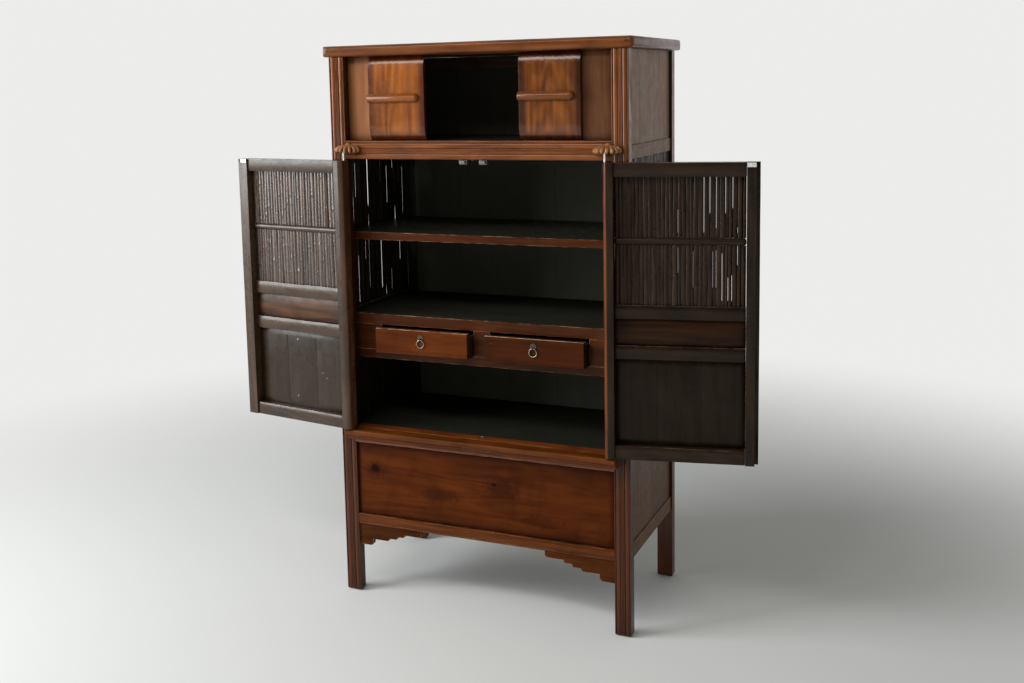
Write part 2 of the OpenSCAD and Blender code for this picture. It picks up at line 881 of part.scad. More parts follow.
module door_pivots() {
    low = z_doorway - pin_in_seat + pin_end_gap;
    translate([0, 0, low]) cylinder(r = pin_r, h = door_low + pin_in_door - low);
    high = z_bracket + pin_in_seat - pin_end_gap;
    translate([0, 0, door_high - pin_in_door]) cylinder(r = pin_r, h = high - door_high + pin_in_door);
}

// Steel plate for the catch, with its screw head, on the inner face of the free stile
module strike() {
    x1 = door_reach - lap_w - strike_in;
    z1 = door_high - strike_in;
    block([x1 - strike_w, door_in, z1 - strike_h], [x1, door_in + strike_t, z1]);
    translate([x1 - strike_w / 2, door_in + strike_t, z1 - strike_h / 2]) rotate([-90, 0, 0])
        cylinder(r = screw_r, h = screw_h);
}

module left_door_hinge_stile() {
    color([0.2, 0.13, 0.1]) in_door(-1) hinge_stile();
}

module left_door_free_stile() {
    color([0.2, 0.13, 0.1]) in_door(-1) free_stile(-1);
}

module left_door_rails() {
    color([0.2, 0.13, 0.1]) in_door(-1) door_rails();
}

module left_door_thin_rail() {
    color([0.2, 0.13, 0.1]) in_door(-1) thin_rail();
}

module left_door_slats() {
    color([0.25, 0.18, 0.15]) in_door(-1) door_slats();
}

module left_door_narrow_panel() {
    color([0.25, 0.12, 0.08]) in_door(-1) narrow_panel();
}

module left_door_large_panel() {
    color([0.17, 0.12, 0.1]) in_door(-1) large_panel();
}

module left_door_pivots() {
    color([0.6, 0.6, 0.58]) in_door(-1) door_pivots();
}

module left_door_strike() {
    color([0.85, 0.85, 0.83]) in_door(-1) strike();
}

module right_door_hinge_stile() {
    color([0.2, 0.13, 0.1]) in_door(1) hinge_stile();
}

module right_door_free_stile() {
    color([0.2, 0.13, 0.1]) in_door(1) free_stile(1);
}

module right_door_rails() {
    color([0.2, 0.13, 0.1]) in_door(1) door_rails();
}

module right_door_thin_rail() {
    color([0.2, 0.13, 0.1]) in_door(1) thin_rail();
}

module right_door_slats() {
    color([0.2, 0.14, 0.11]) in_door(1) door_slats();
}

module right_door_narrow_panel() {
    color([0.2, 0.12, 0.08]) in_door(1) narrow_panel();
}

module right_door_large_panel() {
    color([0.15, 0.11, 0.09]) in_door(1) large_panel();
}

module right_door_pivots() {
    color([0.6, 0.6, 0.58]) in_door(1) door_pivots();
}

module right_door_strike() {
    color([0.85, 0.85, 0.83]) in_door(1) strike();
}

// Places a piece of a drawer, drawn about its middle: its front face at Y 0, its opening's floor at Z 0
module in_drawer(side) {
    in_cabinet() translate([side * drawer_x, unit_back - drawer_out, z_drawer]) children();
}

module drawer_front() {
    block([-drawer_w / 2, 0, drawer_gap_z],
          [drawer_w / 2, drawer_front_t, drawer_gap_z + drawer_front_h]);
}

module drawer_box() {
    inner = drawer_w / 2 - drawer_side_t;
    high = drawer_run_gap + drawer_side_h;
    both_sides() block([inner, drawer_front_t, drawer_run_gap], [drawer_w / 2, drawer_l, high]);
    block([-inner + joint_gap, drawer_l - drawer_side_t, drawer_run_gap],
          [inner - joint_gap, drawer_l, high]);
}

module drawer_bottom() {
    inner = drawer_w / 2 - drawer_side_t;
    low = drawer_run_gap + bottom_lift;
    block([-inner, drawer_front_t, low], [inner, drawer_l - drawer_side_t, low + drawer_bottom_t]);
}

// Round plate with the eye that holds the ring
module pull_plate() {
    translate([0, 0, pull_z]) rotate([90, 0, 0]) cylinder(r = pull_plate_r, h = pull_plate_t);
    difference() {
        translate([0, -pull_plate_t - eye_out, pull_z - eye_drop]) rotate([0, 90, 0]) rotate_extrude()
            translate([eye_r, 0]) circle(eye_wire_r);
        block([-eye_r, -pull_plate_t / 2, pull_z - eye_drop - 2 * eye_r],
              [eye_r, 2 * eye_r, pull_z - eye_drop + 2 * eye_r]);
    }
}

module pull_ring() {
    translate([0, -pull_plate_t - eye_out, pull_z - eye_drop - ring_r]) rotate([90, 0, 0]) rotate_extrude()
        translate([ring_r, 0]) circle(ring_wire_r);
}

module left_drawer_front() {
    color([0.42, 0.16, 0.06]) in_drawer(-1) drawer_front();
}

module left_drawer_box() {
    color([0.2, 0.1, 0.06]) in_drawer(-1) drawer_box();
}

module left_drawer_bottom() {
    color([0.2, 0.1, 0.06]) in_drawer(-1) drawer_bottom();
}

module left_pull_plate() {
    color([0.5, 0.5, 0.46]) in_drawer(-1) pull_plate();
}

module left_pull_ring() {
    color([0.55, 0.55, 0.5]) in_drawer(-1) pull_ring();
}

module right_drawer_front() {
    color([0.42, 0.16, 0.06]) in_drawer(1) drawer_front();
}

module right_drawer_box() {
    color([0.2, 0.1, 0.06]) in_drawer(1) drawer_box();
}

module right_drawer_bottom() {
    color([0.2, 0.1, 0.06]) in_drawer(1) drawer_bottom();
}

module right_pull_plate() {
    color([0.5, 0.5, 0.46]) in_drawer(1) pull_plate();
}

module right_pull_ring() {
    color([0.55, 0.55, 0.5]) in_drawer(1) pull_ring();
}

// Body of a sliding door from X 0 to its width: a bulging face, a flat back and a tongue above and below
module slider_body() {
    h = upper_h - 2 * slider_edge_gap;
    r = arc_r(h, slider_bulge);
    face = slider_back_y - slider_t;
    tongue_h = groove_h + slider_edge_gap - slider_run_gap;
    translate([0, 0, z_upper + slider_edge_gap]) along_x(slider_w) {
        translate([face + slider_bulge, 0]) square([slider_t - slider_bulge, h]);
        intersection() {
            translate([face + r, h / 2]) circle(r, $fn = 720);
            translate([face, 0]) square([slider_bulge + 0.01, h]);
        }
        translate([tongue_y, -tongue_h]) square([tongue_t, h + 2 * tongue_h]);
    }
}

// Round-fronted handle bar across a sliding door, its far end a half ball
module slider_bar() {
    y = slider_back_y - slider_t + bar_sink;
    difference() {
        intersection() {
            translate([0, y, bar_z]) union() {
                rotate([0, 90, 0]) cylinder(r = bar_r, h = bar_l - bar_r);
                translate([bar_l - bar_r, 0, 0]) sphere(bar_r);
            }
            block([0, y - 2 * bar_r, bar_z - bar_r], [bar_l, y, bar_z + bar_r]);
        }
        slider_body();
    }
}

module in_left_slider() {
    in_cabinet() translate([-left_slider_out - slider_w, 0, 0]) children();
}

module in_right_slider() {
    in_cabinet() translate([right_slider_out, 0, 0]) children();
}

module left_sliding_door() {
    color([0.5, 0.22, 0.07]) in_left_slider() slider_body();
}

module left_sliding_door_bar() {
    color([0.52, 0.22, 0.07]) in_left_slider() slider_bar();
}

module right_sliding_door() {
    color([0.5, 0.22, 0.07]) in_right_slider() slider_body();
}

module right_sliding_door_bar() {
    color([0.52, 0.22, 0.07]) in_right_slider() slider_bar();
}

top_board();
front_post_left();
front_post_right();
rear_posts();
front_mid_rail();
sill_rail();
sill_moulding();
lower_front_panel();
lower_front_rail();
apron_brackets();
pivot_brackets();
front_fixed_panels();
upper_floor();
back_boards();
back_rails();
side_upper_panels();
side_rails();
side_slats_left();
side_slats_right();
side_lower_panels();
shelf();
drawer_unit_top();
drawer_unit_frame();
drawer_unit_floor();
floor_board();
bottom_board();
door_catches();
left_door_hinge_stile();
left_door_free_stile();
left_door_rails();
left_door_thin_rail();
left_door_slats();
left_door_narrow_panel();
left_door_large_panel();
left_door_pivots();
left_door_strike();
right_door_hinge_stile();
right_door_free_stile();
right_door_rails();
right_door_thin_rail();
right_door_slats();
right_door_narrow_panel();
right_door_large_panel();
right_door_pivots();
right_door_strike();
left_drawer_front();
left_drawer_box();
left_drawer_bottom();
left_pull_plate();
left_pull_ring();
right_drawer_front();
right_drawer_box();
right_drawer_bottom();
right_pull_plate();
right_pull_ring();
left_sliding_door();
left_sliding_door_bar();
right_sliding_door();
right_sliding_door_bar();
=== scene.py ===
"""Looks of the display cabinet, with its split canes, lotus brackets and sliding doors built anew."""
import json
import math
import random

import bmesh
import bpy
from mathutils import Matrix, Vector, noise

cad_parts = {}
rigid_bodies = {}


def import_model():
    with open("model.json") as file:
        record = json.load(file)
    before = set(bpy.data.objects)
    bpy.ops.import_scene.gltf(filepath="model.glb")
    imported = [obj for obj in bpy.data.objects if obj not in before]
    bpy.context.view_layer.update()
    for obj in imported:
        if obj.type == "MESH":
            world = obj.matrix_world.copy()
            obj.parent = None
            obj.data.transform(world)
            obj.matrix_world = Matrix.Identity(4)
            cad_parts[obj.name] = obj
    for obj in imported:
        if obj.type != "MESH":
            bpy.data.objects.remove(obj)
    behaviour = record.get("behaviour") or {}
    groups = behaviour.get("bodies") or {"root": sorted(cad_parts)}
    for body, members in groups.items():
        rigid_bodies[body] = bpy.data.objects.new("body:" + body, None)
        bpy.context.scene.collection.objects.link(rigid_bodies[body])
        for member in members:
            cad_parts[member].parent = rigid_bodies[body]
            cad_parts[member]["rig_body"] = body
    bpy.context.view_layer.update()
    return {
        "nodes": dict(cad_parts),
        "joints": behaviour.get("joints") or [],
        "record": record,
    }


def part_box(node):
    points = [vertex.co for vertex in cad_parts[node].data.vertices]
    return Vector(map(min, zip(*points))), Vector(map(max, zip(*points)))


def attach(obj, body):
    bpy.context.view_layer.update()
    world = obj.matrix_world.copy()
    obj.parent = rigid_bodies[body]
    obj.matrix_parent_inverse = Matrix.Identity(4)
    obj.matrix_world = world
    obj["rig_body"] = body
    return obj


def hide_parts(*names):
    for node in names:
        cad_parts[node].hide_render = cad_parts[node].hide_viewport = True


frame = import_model()

MM = 0.001
NODES = frame["nodes"]
JOINTS = {joint["name"]: joint for joint in frame["joints"]}
SLOTS = {part["node"]: part["material_slot"] for part in frame["record"]["subparts"]}

# Reeds, beads and other arrises are told apart from flat joints by the angle between their faces
ARRIS_ANGLE = math.radians(28)
SMOOTH_ANGLE = math.radians(27)
FLAT_ANGLE = math.radians(0.6)

# Points nearer to each other than this are one
MERGE_REACH = 0.002 * MM

# How much of a face's normal lies along an axis when the face partly or mostly looks that way
PARTLY = 0.3
MOSTLY = 0.5

# Wear marks on every arris, whichever way it looks
ANY_WAY = -2.0

# Front of the posts, from which depths are measured
FRONT_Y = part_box("front_post_left")[0].y

# Between these heights the posts and sides darken toward the bottom with painted shade, and the closed part
# begins above the lower one
FEET_TOP = 1.3
FEET_LOW = 0.5


def collection_add(obj):
    bpy.context.scene.collection.objects.link(obj)
    return obj


def new_object(name, bm):
    """Turns a bmesh into a linked object with a mesh of its own."""
    mesh = bpy.data.meshes.new(name)
    bm.to_mesh(mesh)
    bm.free()
    return collection_add(bpy.data.objects.new(name, mesh))


def door_matrix(side):
    """Takes a point of a door, along from its pivot and in from it, to its place in the cabinet at rest."""
    joint = JOINTS["left_door_hinge" if side < 0 else "right_door_hinge"]
    x, y, _ = joint["pos_m"]
    angle = side * math.radians(joint["range_deg"][1])
    flip = Matrix.Scale(-1, 4, Vector((1, 0, 0))) if side > 0 else Matrix.Identity(4)
    return Matrix.Translation((x, y, 0)) @ Matrix.Rotation(angle, 4, "Z") @ flip


def ramp(value, low, high):
    """Smooth rise from 0 at the low value to 1 at the high one."""
    share = min(max((value - low) / (high - low), 0.0), 1.0)
    return share * share * (3 - 2 * share)


# Boards

# Order of a board's coordinates by the way its grain runs: across, through and along it
BOARD_ORDER = {"X": (2, 1, 0), "Y": (2, 0, 1), "Z": (0, 1, 2)}


def islands(bm):
    """Groups of connected vertices, one for each board."""
    bm.verts.index_update()
    seen = set()
    groups = []
    for start in bm.verts:
        if start.index in seen:
            continue
        group = []
        stack = [start]
        seen.add(start.index)
        while stack:
            vert = stack.pop()
            group.append(vert)
            for edge in vert.link_edges:
                other = edge.other_vert(vert)
                if other.index not in seen:
                    seen.add(other.index)
                    stack.append(other)
        groups.append(group)
    return groups


def span(verts, axis):
    """Least and greatest place of vertices along an axis, which is 0, 1 or 2."""
    places = [vert.co[axis] for vert in verts]
    return min(places), max(places)


def border_share(vert, low, high, width):
    """How near a point lies to the border of its board's broad face, from 0 to 1."""
    sizes = [high[i] - low[i] for i in range(3)]
    broad = sorted(range(3), key=lambda i: sizes[i])[1:]
    reach = min(min(vert.co[i] - low[i], high[i] - vert.co[i]) for i in broad)
    return 1.0 - ramp(reach, 0.0, width)


def turn_outward(bm):
    """Turns the faces of each board outward."""
    bm.normal_update()
    inward = []
    for group in islands(bm):
        faces = {face for vert in group for face in vert.link_faces}
        middle = group[0].co
        volume = sum(f.calc_area() * f.normal.dot(f.calc_center_median() - middle) for f in faces)
        if volume < 0:
            inward += faces
    bmesh.ops.reverse_faces(bm, faces=inward)
    bm.normal_update()


# Steps that spread the boards' patterns and shades, so that no two boards look alike
BOARD_STEP = 12.9898
SEED_STEP = 78.233
STRIP_STEP = 2.1
SHIFT_RATES = (1.0, 1.7, 2.3)
SHIFT = 9
SHADE_RATE = 3.1


def write_grain(bm, axis, seed=0, rim=0.0, shifted=True, strips=(), tone=None):
    """Stores each point's place in its board, the board's darker rim and its shade.

    The grain runs along the third coordinate of the stored place. The rim and the strips are in millimetres.
    """
    place = bm.verts.layers.float_vector.new("grain")
    border = bm.verts.layers.float.new("rim")
    shade_layer = bm.faces.layers.float.new("tone")
    order = BOARD_ORDER[axis]
    for number, group in enumerate(islands(bm)):
        key = BOARD_STEP * (number + 1) + SEED_STEP * (seed + 1)
        shift = Vector([math.sin(key * rate) * SHIFT for rate in SHIFT_RATES]) if shifted else Vector()
        low, high = zip(*(span(group, i) for i in range(3)))
        for vert in group:
            vert[place] = Vector([vert.co[i] for i in order]) + shift
            vert[border] = border_share(vert, low, high, rim * MM) if rim else 0.0
        for face in {face for vert in group for face in vert.link_faces}:
            middle = face.calc_center_median()
            strip = sum(middle.x > limit * MM for limit in strips)
            own = 0.5 + 0.5 * math.sin((key + STRIP_STEP * strip) * SHADE_RATE)
            # A given tone paints light onto the boards in place of their own random shade
            face[shade_layer] = tone(middle) if tone else own


def painted_light_by_half(point):
    """Painted light: the left half's boards are the paler ones, and the right half's the darker, as if lit
    from the left.
    """
    return 1.0 if point.x < 0 else 0.0


def mark_faces(bm, name, share_of):
    """Stores a share on each face, worked out from its normal and its middle."""
    layer = bm.faces.layers.float.new(name)
    bm.normal_update()
    for face in bm.faces:
        face[layer] = share_of(face.normal, face.calc_center_median())


# Edges of a door, in its own coordinates
DOOR_FREE_EDGE = 0.395
FREE_EDGE_LACQUER = 0.5
HINGE_ROUND = 13 * MM
HINGE_STEPS = 6
HINGE_FACING = 0.15
CORNER_REACH = 0.1 * MM


def mark_outside(bm, hinge_share):
    """Marks the lacquered outer faces and edges of a door, in the door's own coordinates."""
    def share(normal, middle):
        if normal.y < -PARTLY:
            return 1.0
        if normal.x < -HINGE_FACING and middle.x < HINGE_ROUND:
            return hinge_share
        return FREE_EDGE_LACQUER if normal.x > PARTLY and middle.x > DOOR_FREE_EDGE else 0.0
    mark_faces(bm, "outside", share)


def mark_inside(bm):
    """Marks the faces that look into the cabinet's closed part, for their own black and painted shade."""
    def share(normal, middle):
        inward = normal.x * middle.x < 0 and abs(normal.x) > MOSTLY
        forward = normal.y < -MOSTLY and middle.y > 0
        level = abs(normal.z) > MOSTLY
        return 1.0 if (inward or forward or level) and middle.z > FEET_LOW else 0.0
    mark_faces(bm, "inside", share)


def mark_back(bm):
    """Marks the bare faces that look out behind the cabinet."""
    def share(normal, middle):
        return 1.0 if normal.y > PARTLY else 0.0
    mark_faces(bm, "outside", share)


# Depths behind a front face between which the grooves darken with painted shade
GROOVE_TOP = 0.9 * MM
GROOVE_FLOOR = 2.4 * MM


def mark_grooves(bm):
    """Marks the grooves of a reeded front face for their painted shade, from 0 at a bead's top to 1 at a
    groove's floor.
    """
    layer = bm.verts.layers.float.new("groove")
    front = span(bm.verts, 1)[0]
    for vert in bm.verts:
        vert[layer] = ramp(vert.co.y - front, GROOVE_TOP, GROOVE_FLOOR)


def round_edges(bm, edges, width, segments):
    """Rounds edges and returns the faces that do so."""
    result = bmesh.ops.bevel(bm, geom=edges, offset=width, offset_type="OFFSET", segments=segments,
                             profile=0.5, affect="EDGES", clamp_overlap=True)
    return result["faces"]


def round_hinge_edge(bm):
    """Rounds the long inner arris on which a door turns past its post, in the door's own coordinates."""
    near_x = span(bm.verts, 0)[0] + CORNER_REACH
    near_y = span(bm.verts, 1)[1] - CORNER_REACH
    corner = [edge for edge in bm.edges if all(v.co.x < near_x and v.co.y > near_y for v in edge.verts)]
    round_edges(bm, corner, HINGE_ROUND, HINGE_STEPS)


def cut(bm, point, normal):
    """Cuts a mesh across a plane and leaves both sides in place."""
    bmesh.ops.bisect_plane(bm, geom=bm.verts[:] + bm.edges[:] + bm.faces[:], plane_co=point, plane_no=normal)


def slice_along(bm, axis, step):
    """Cuts a mesh across at even steps, so that it can be made slightly uneven."""
    number = "XYZ".index(axis)
    low, high = span(bm.verts, number)
    count = int((high - low) / step)
    normal = Vector([1.0 if i == number else 0.0 for i in range(3)])
    for i in range(1, count):
        cut(bm, normal * (low + (high - low) * i / count), normal)


def unevenness(p, size):
    """Slow hand-planed wave at a point, from -1 to 1, for waves of about this size."""
    return noise.noise(p / size + Vector((3.1, 7.7, 1.3)))


# A worn chamfer's depth swings about its mean in waves along each rail, which differ from rail to rail
CHAMFER_MEAN = 0.75
CHAMFER_SWING = 0.6
CHAMFER_WAVES = 70
RAIL_STEP = 90


def chamfer_tops(bm, reach, depth):
    """Cuts a wavy, worn chamfer along the inner top edge of each rail but the highest."""
    tops = sorted({round(span(group, 2)[1], 5) for group in islands(bm)})
    for top in tops:
        cut(bm, (0, 0, top - reach), (0, 0, 1))
    for group in islands(bm):
        top = span(group, 2)[1]
        face = span(group, 1)[1]
        if len(tops) > 1 and top > tops[-1] - 1 * MM:
            continue
        for vert in group:
            share = (vert.co.z - top + reach) / reach
            if share > 0 and vert.co.y > face - depth:
                place = Vector((vert.co.x * CHAMFER_WAVES, top * RAIL_STEP, 0))
                vert.co.y -= depth * share * (CHAMFER_MEAN + CHAMFER_SWING * noise.noise(place))


WIDEST_JOINT = 3 * MM


def close_joints(bm):
    """Brings neighbouring boards up against each other, so that no light passes between them."""
    spans = [[round(place, 6) for place in span(group, 0)] for group in islands(bm)]
    meeting = {}
    for low, _ in spans:
        for _, high in spans:
            if 0 < low - high < WIDEST_JOINT:
                meeting[low] = meeting[high] = (low + high) / 2
    for vert in bm.verts:
        vert.co.x = meeting.get(round(vert.co.x, 6), vert.co.x)


def clean_copy(node):
    """A node's mesh with its flat faces joined up again."""
    bm = bmesh.new()
    bm.from_mesh(NODES[node].data)
    bmesh.ops.remove_doubles(bm, verts=bm.verts[:], dist=MERGE_REACH)
    bmesh.ops.dissolve_limit(bm, angle_limit=FLAT_ANGLE, verts=bm.verts[:], edges=bm.edges[:])
    return bm


def ease_arrises(bm, width, segments, wear_from=ANY_WAY):
    """Rounds the outer arrises and marks those that face up far enough, for pale marks that are partly wear
    and partly painted highlight.
    """
    layer = bm.faces.layers.float.new("arris")
    edges = [edge for edge in bm.edges
             if len(edge.link_faces) == 2 and edge.is_convex and edge.calc_face_angle() > ARRIS_ANGLE]
    if edges and width > 0:
        eased = round_edges(bm, edges, width, segments)
        bm.normal_update()
        for face in eased:
            face[layer] = 1.0 if face.normal.z > wear_from else 0.0


def make_uneven(bm, depth, size):
    """Sinks a surface by up to a depth in millimetres, in slow waves of about a size in metres."""
    bm.normal_update()
    moves = [(vert, -vert.normal * (0.5 + 0.5 * unevenness(vert.co, size)) * depth * MM) for vert in bm.verts]
    for vert, move in moves:
        vert.co += move


def shade(obj):
    """Smooth shading that stays crisp at real corners."""
    obj.data.polygons.foreach_set("use_smooth", [True] * len(obj.data.polygons))
    obj.data.set_sharp_from_angle(angle=SMOOTH_ANGLE)


def finish_piece(obj, material, nodes):
    """Gives a piece its material and its body, and lets it stand for its nodes."""
    obj.data.materials.clear()
    obj.data.materials.append(material)
    shade(obj)
    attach(obj, NODES[nodes[0]]["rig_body"])
    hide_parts(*nodes)


def dress(node, grain="Z", material=None, ease=1.2, segments=2, place=None, cuts=(), wave=0.0,
          wave_size=0.09, wear_from=ANY_WAY, chamfer=None, hinge=0.0, inside=False, back=False,
          grooves=False, **grain_settings):
    """Stands for a CAD node with the same shape, eased arrises, grain and a slightly uneven surface.

    ease, wave and chamfer are in millimetres, cuts and wave_size in metres. A door's pieces are worked on in
    the door's own coordinates, from which place takes them to the cabinet.
    """
    bm = clean_copy(node)
    if place:
        bm.transform(place.inverted())
        turn_outward(bm)
    if hinge:
        round_hinge_edge(bm)
    if back:
        close_joints(bm)
    ease_arrises(bm, ease * MM, segments, wear_from)
    for axis, step in cuts:
        slice_along(bm, axis, step)
    if chamfer:
        chamfer_tops(bm, chamfer[0] * MM, chamfer[1] * MM)
    if wave:
        make_uneven(bm, wave, wave_size)
    if place:
        mark_outside(bm, hinge)
    if inside:
        mark_inside(bm)
    if back:
        mark_back(bm)
    if grooves:
        mark_grooves(bm)
    write_grain(bm, grain, **grain_settings)
    if place:
        bm.transform(place)
        turn_outward(bm)
    finish_piece(new_object(node + "_dressed", bm), material or MATERIALS[SLOTS[node]], [node])


# Split canes

CANE_RING = 14 * MM
CANE_SIDES = 9
GAP_END = 7 * MM

# A cane's thickness at its long edges and the width of its flat back, as shares
CANE_FOOT = 0.1
CANE_FLAT = 0.9

# Limits between which each cane's own shape is drawn, in millimetres or as shares
CANE_LAPS = (0.3, 2.0)
CANE_LEAN = 2.6
CANE_THINNING = (0.65, 1.0)
CANE_BACKS = (0.0, 1.6)
CANE_PHASES = (0, 50)
CANE_JOINT_PLACES = (0.08, 0.92)
CANE_JOINT_COUNTS = (1, 1, 2)
CANE_EDGE_SHIFT = 0.24

# Slow drift and swelling along a cane, with their waves to the metre, and the knob at a joint
DRIFT = 1.2 * MM
DRIFT_WAVES = 9
SWELL = 0.06
SWELL_WAVES = 16
JOINT_REACH = 2.2 * MM
JOINT_HALF = 1.0 * MM
JOINT_SWELL = 0.08

# Each row, tier and cane draws from numbers of its own
ROW_SEED = 1000
TIER_SEED = 100


def cane_outline(half, thick):
    """Half-round section of a cane about its own middle, flat at its back."""
    points = []
    for i in range(CANE_SIDES):
        angle = math.pi * i / (CANE_SIDES - 1)
        points.append((-math.cos(angle) * half, thick * (CANE_FOOT + (1 - CANE_FOOT) * math.sin(angle))))
    return points + [(half * CANE_FLAT, 0.0), (-half * CANE_FLAT, 0.0)]


def daylight(gaps, z):
    """Half the width of the gap beside a cane at a height."""
    widths = [width * ramp(z, low, low + GAP_END) * ramp(-z, -high, -high + GAP_END)
              for low, high, width in gaps]
    return max(widths, default=0.0) / 2


def cane_heights(low, high, joints, gaps):
    """Heights of a cane's sections: even steps, and more at its joints and where a gap beside it ends."""
    count = round((high - low) / CANE_RING)
    heights = [low + (high - low) * i / count for i in range(count + 1)]
    heights += [z + d for z in joints for d in (-JOINT_REACH, 0.0, JOINT_REACH) if low < z + d < high]
    heights += [z for gap in gaps for z in (gap[0] + GAP_END, gap[1] - GAP_END) if low < z < high]
    return sorted(set(heights))


def join_rings(bm, rings):
    """Closes a stack of rings into a solid."""
    sides = len(rings[0])
    for lower, upper in zip(rings, rings[1:]):
        for i in range(sides):
            j = (i + 1) % sides
            bm.faces.new((lower[i], lower[j], upper[j], upper[i]))
    bm.faces.new(rings[0][::-1])
    bm.faces.new(rings[-1])


def add_cane(bm, edges, tier, gaps, limits, thick, rand):
    """One crooked split cane with a joint or two, from its lower to its upper end."""
    low, high = tier
    lap = rand.uniform(*CANE_LAPS) * MM
    lean = rand.uniform(-1, 1) * CANE_LEAN * MM
    thick = thick * rand.uniform(*CANE_THINNING)
    back = rand.uniform(*CANE_BACKS) * MM
    phase = Vector([rand.uniform(*CANE_PHASES) for _ in range(3)])
    joint_count = rand.choice(CANE_JOINT_COUNTS)
    joints = [low + (high - low) * rand.uniform(*CANE_JOINT_PLACES) for _ in range(joint_count)]
    rings = []
    for z in cane_heights(low, high, joints, gaps[0] + gaps[1]):
        share = (z - low) / (high - low) - 0.5
        open_left, open_right = daylight(gaps[0], z), daylight(gaps[1], z)
        loose = 0.0 if open_left or open_right else 1.0
        sway = DRIFT * noise.noise(phase + Vector((0, 0, z * DRIFT_WAVES)))
        drift = lean * share * loose + sway * loose
        swell = 1.0 + SWELL * noise.noise(phase + Vector((5, 0, z * SWELL_WAVES)))
        if any(abs(z - joint) < JOINT_HALF for joint in joints):
            swell += JOINT_SWELL
        left = edges[0] + (open_left if open_left else -lap)
        right = edges[1] - (open_right if open_right else -lap)
        middle = (left + right) / 2
        half = (right - left) / 2 * (swell if loose else 1.0)
        ring = []
        for x, y in cane_outline(half, thick * swell):
            ring.append(bm.verts.new((min(max(middle + drift + x, limits[0]), limits[1]), back + y, z)))
        rings.append(ring)
    join_rings(bm, rings)


def node_levels(node):
    """Lower and upper ends of each tier of a node's upright pieces."""
    levels = sorted({round(v.co.z, 4) for v in NODES[node].data.vertices})
    return list(zip(levels[::2], levels[1::2]))


def cane_edges(low, high, count, gaps, rand):
    """Where the canes of a tier meet: nearly even, with a joint at each gap that lets daylight through."""
    pitch = (high - low) / count
    edges = [low + pitch * (i + rand.uniform(-CANE_EDGE_SHIFT, CANE_EDGE_SHIFT)) for i in range(count + 1)]
    edges[0], edges[-1] = low, high
    beside = [[] for _ in edges]
    for along, bottom, top, width in gaps:
        i = min(max(round((along - low) / pitch), 1), count - 1)
        if not beside[i]:
            edges[i] = along
        beside[i].append((bottom, top, width))
    return edges, beside


def cane_rows(node, material, place, count, gaps, thick, seed):
    """Both tiers of canes of a door or a side, close together but for the gaps given, in millimetres."""
    gaps = [tuple(size * MM for size in gap) for gap in gaps]
    inside = [place.inverted() @ v.co for v in NODES[node].data.vertices]
    limits = (min(p.x for p in inside), max(p.x for p in inside))
    base_y = min(p.y for p in inside)
    bm = bmesh.new()
    for number, tier in enumerate(node_levels(node)):
        here = [gap for gap in gaps if tier[0] < (gap[1] + gap[2]) / 2 < tier[1]]
        edges, beside = cane_edges(*limits, count, here, random.Random(seed * ROW_SEED + number))
        for i in range(count):
            rand = random.Random(seed * ROW_SEED + (number + 1) * TIER_SEED + i)
            add_cane(bm, edges[i:i + 2], tier, beside[i:i + 2], limits, thick, rand)
    bm.transform(Matrix.Translation((0, base_y, 0)))
    write_grain(bm, "Z", seed=seed)
    bm.transform(place)
    turn_outward(bm)
    finish_piece(new_object(node + "_canes", bm), material, [node])


def side_matrix(side):
    """Takes a point along a side, in from its outer face, to its place in the cabinet."""
    low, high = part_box("side_slats_left" if side < 0 else "side_slats_right")
    outer = high.x if side > 0 else low.x
    return Matrix(((0, -side, 0, outer), (1, 0, 0, FRONT_Y), (0, 0, 1, 0), (0, 0, 0, 1)))


# Lotus brackets

LOBES = 8
LOBE_STEPS = 12
# Radius and height, as shares, from the bud on top over the petals and in under their tips
LOTUS = ((0.03, 1.0), (0.12, 0.98), (0.19, 0.9), (0.23, 0.82), (0.4, 0.81), (0.62, 0.76), (0.82, 0.65),
         (0.95, 0.5), (1.0, 0.33), (0.96, 0.2), (0.84, 0.12), (0.62, 0.07), (0.45, 0.0))
PETAL_POWER = 0.55
CREASE = 0.3
CREASE_FROM = 0.2
CREASE_FULL = 0.7
DROOP = 0.2


def add_bracket(bm, side):
    """Half of a flattened lotus: rounded petals that spread from the bud and hang over the pin."""
    low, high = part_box("pivot_brackets")
    joint_x = JOINTS["left_door_hinge" if side < 0 else "right_door_hinge"]["pos_m"][0]
    reach = high.x - abs(joint_x)
    depth = FRONT_Y - low.y
    height = high.z - low.z
    total = LOBES * LOBE_STEPS
    rows = []
    for share, up in LOTUS:
        row = []
        for i in range(total + 1):
            petal = abs(math.sin(math.pi * i / LOBE_STEPS)) ** PETAL_POWER
            valley = (1.0 - petal) * ramp(share, CREASE_FROM, CREASE_FULL)
            angle = math.pi + math.pi * i / total
            radius = share * (1.0 - CREASE * valley)
            z = low.z + height * min(1.0, up + DROOP * valley * (1.0 - up))
            row.append(bm.verts.new((joint_x + math.cos(angle) * reach * radius,
                                     FRONT_Y + math.sin(angle) * depth * radius, z)))
        rows.append(row)
    for upper, lower in zip(rows, rows[1:]):
        for i in range(total):
            bm.faces.new((upper[i], lower[i], lower[i + 1], upper[i + 1]))
    bm.faces.new(rows[0][::-1])
    bm.faces.new(rows[-1])
    bm.faces.new([row[0] for row in rows] + [row[-1] for row in reversed(rows)])


def lotus_brackets():
    bm = bmesh.new()
    for side in (-1, 1):
        add_bracket(bm, side)
    write_grain(bm, "X", seed=10)
    turn_outward(bm)
    obj = new_object("lotus_brackets", bm)
    finish_piece(obj, MATERIALS[SLOTS["pivot_brackets"]], ["pivot_brackets"])


# Sliding doors

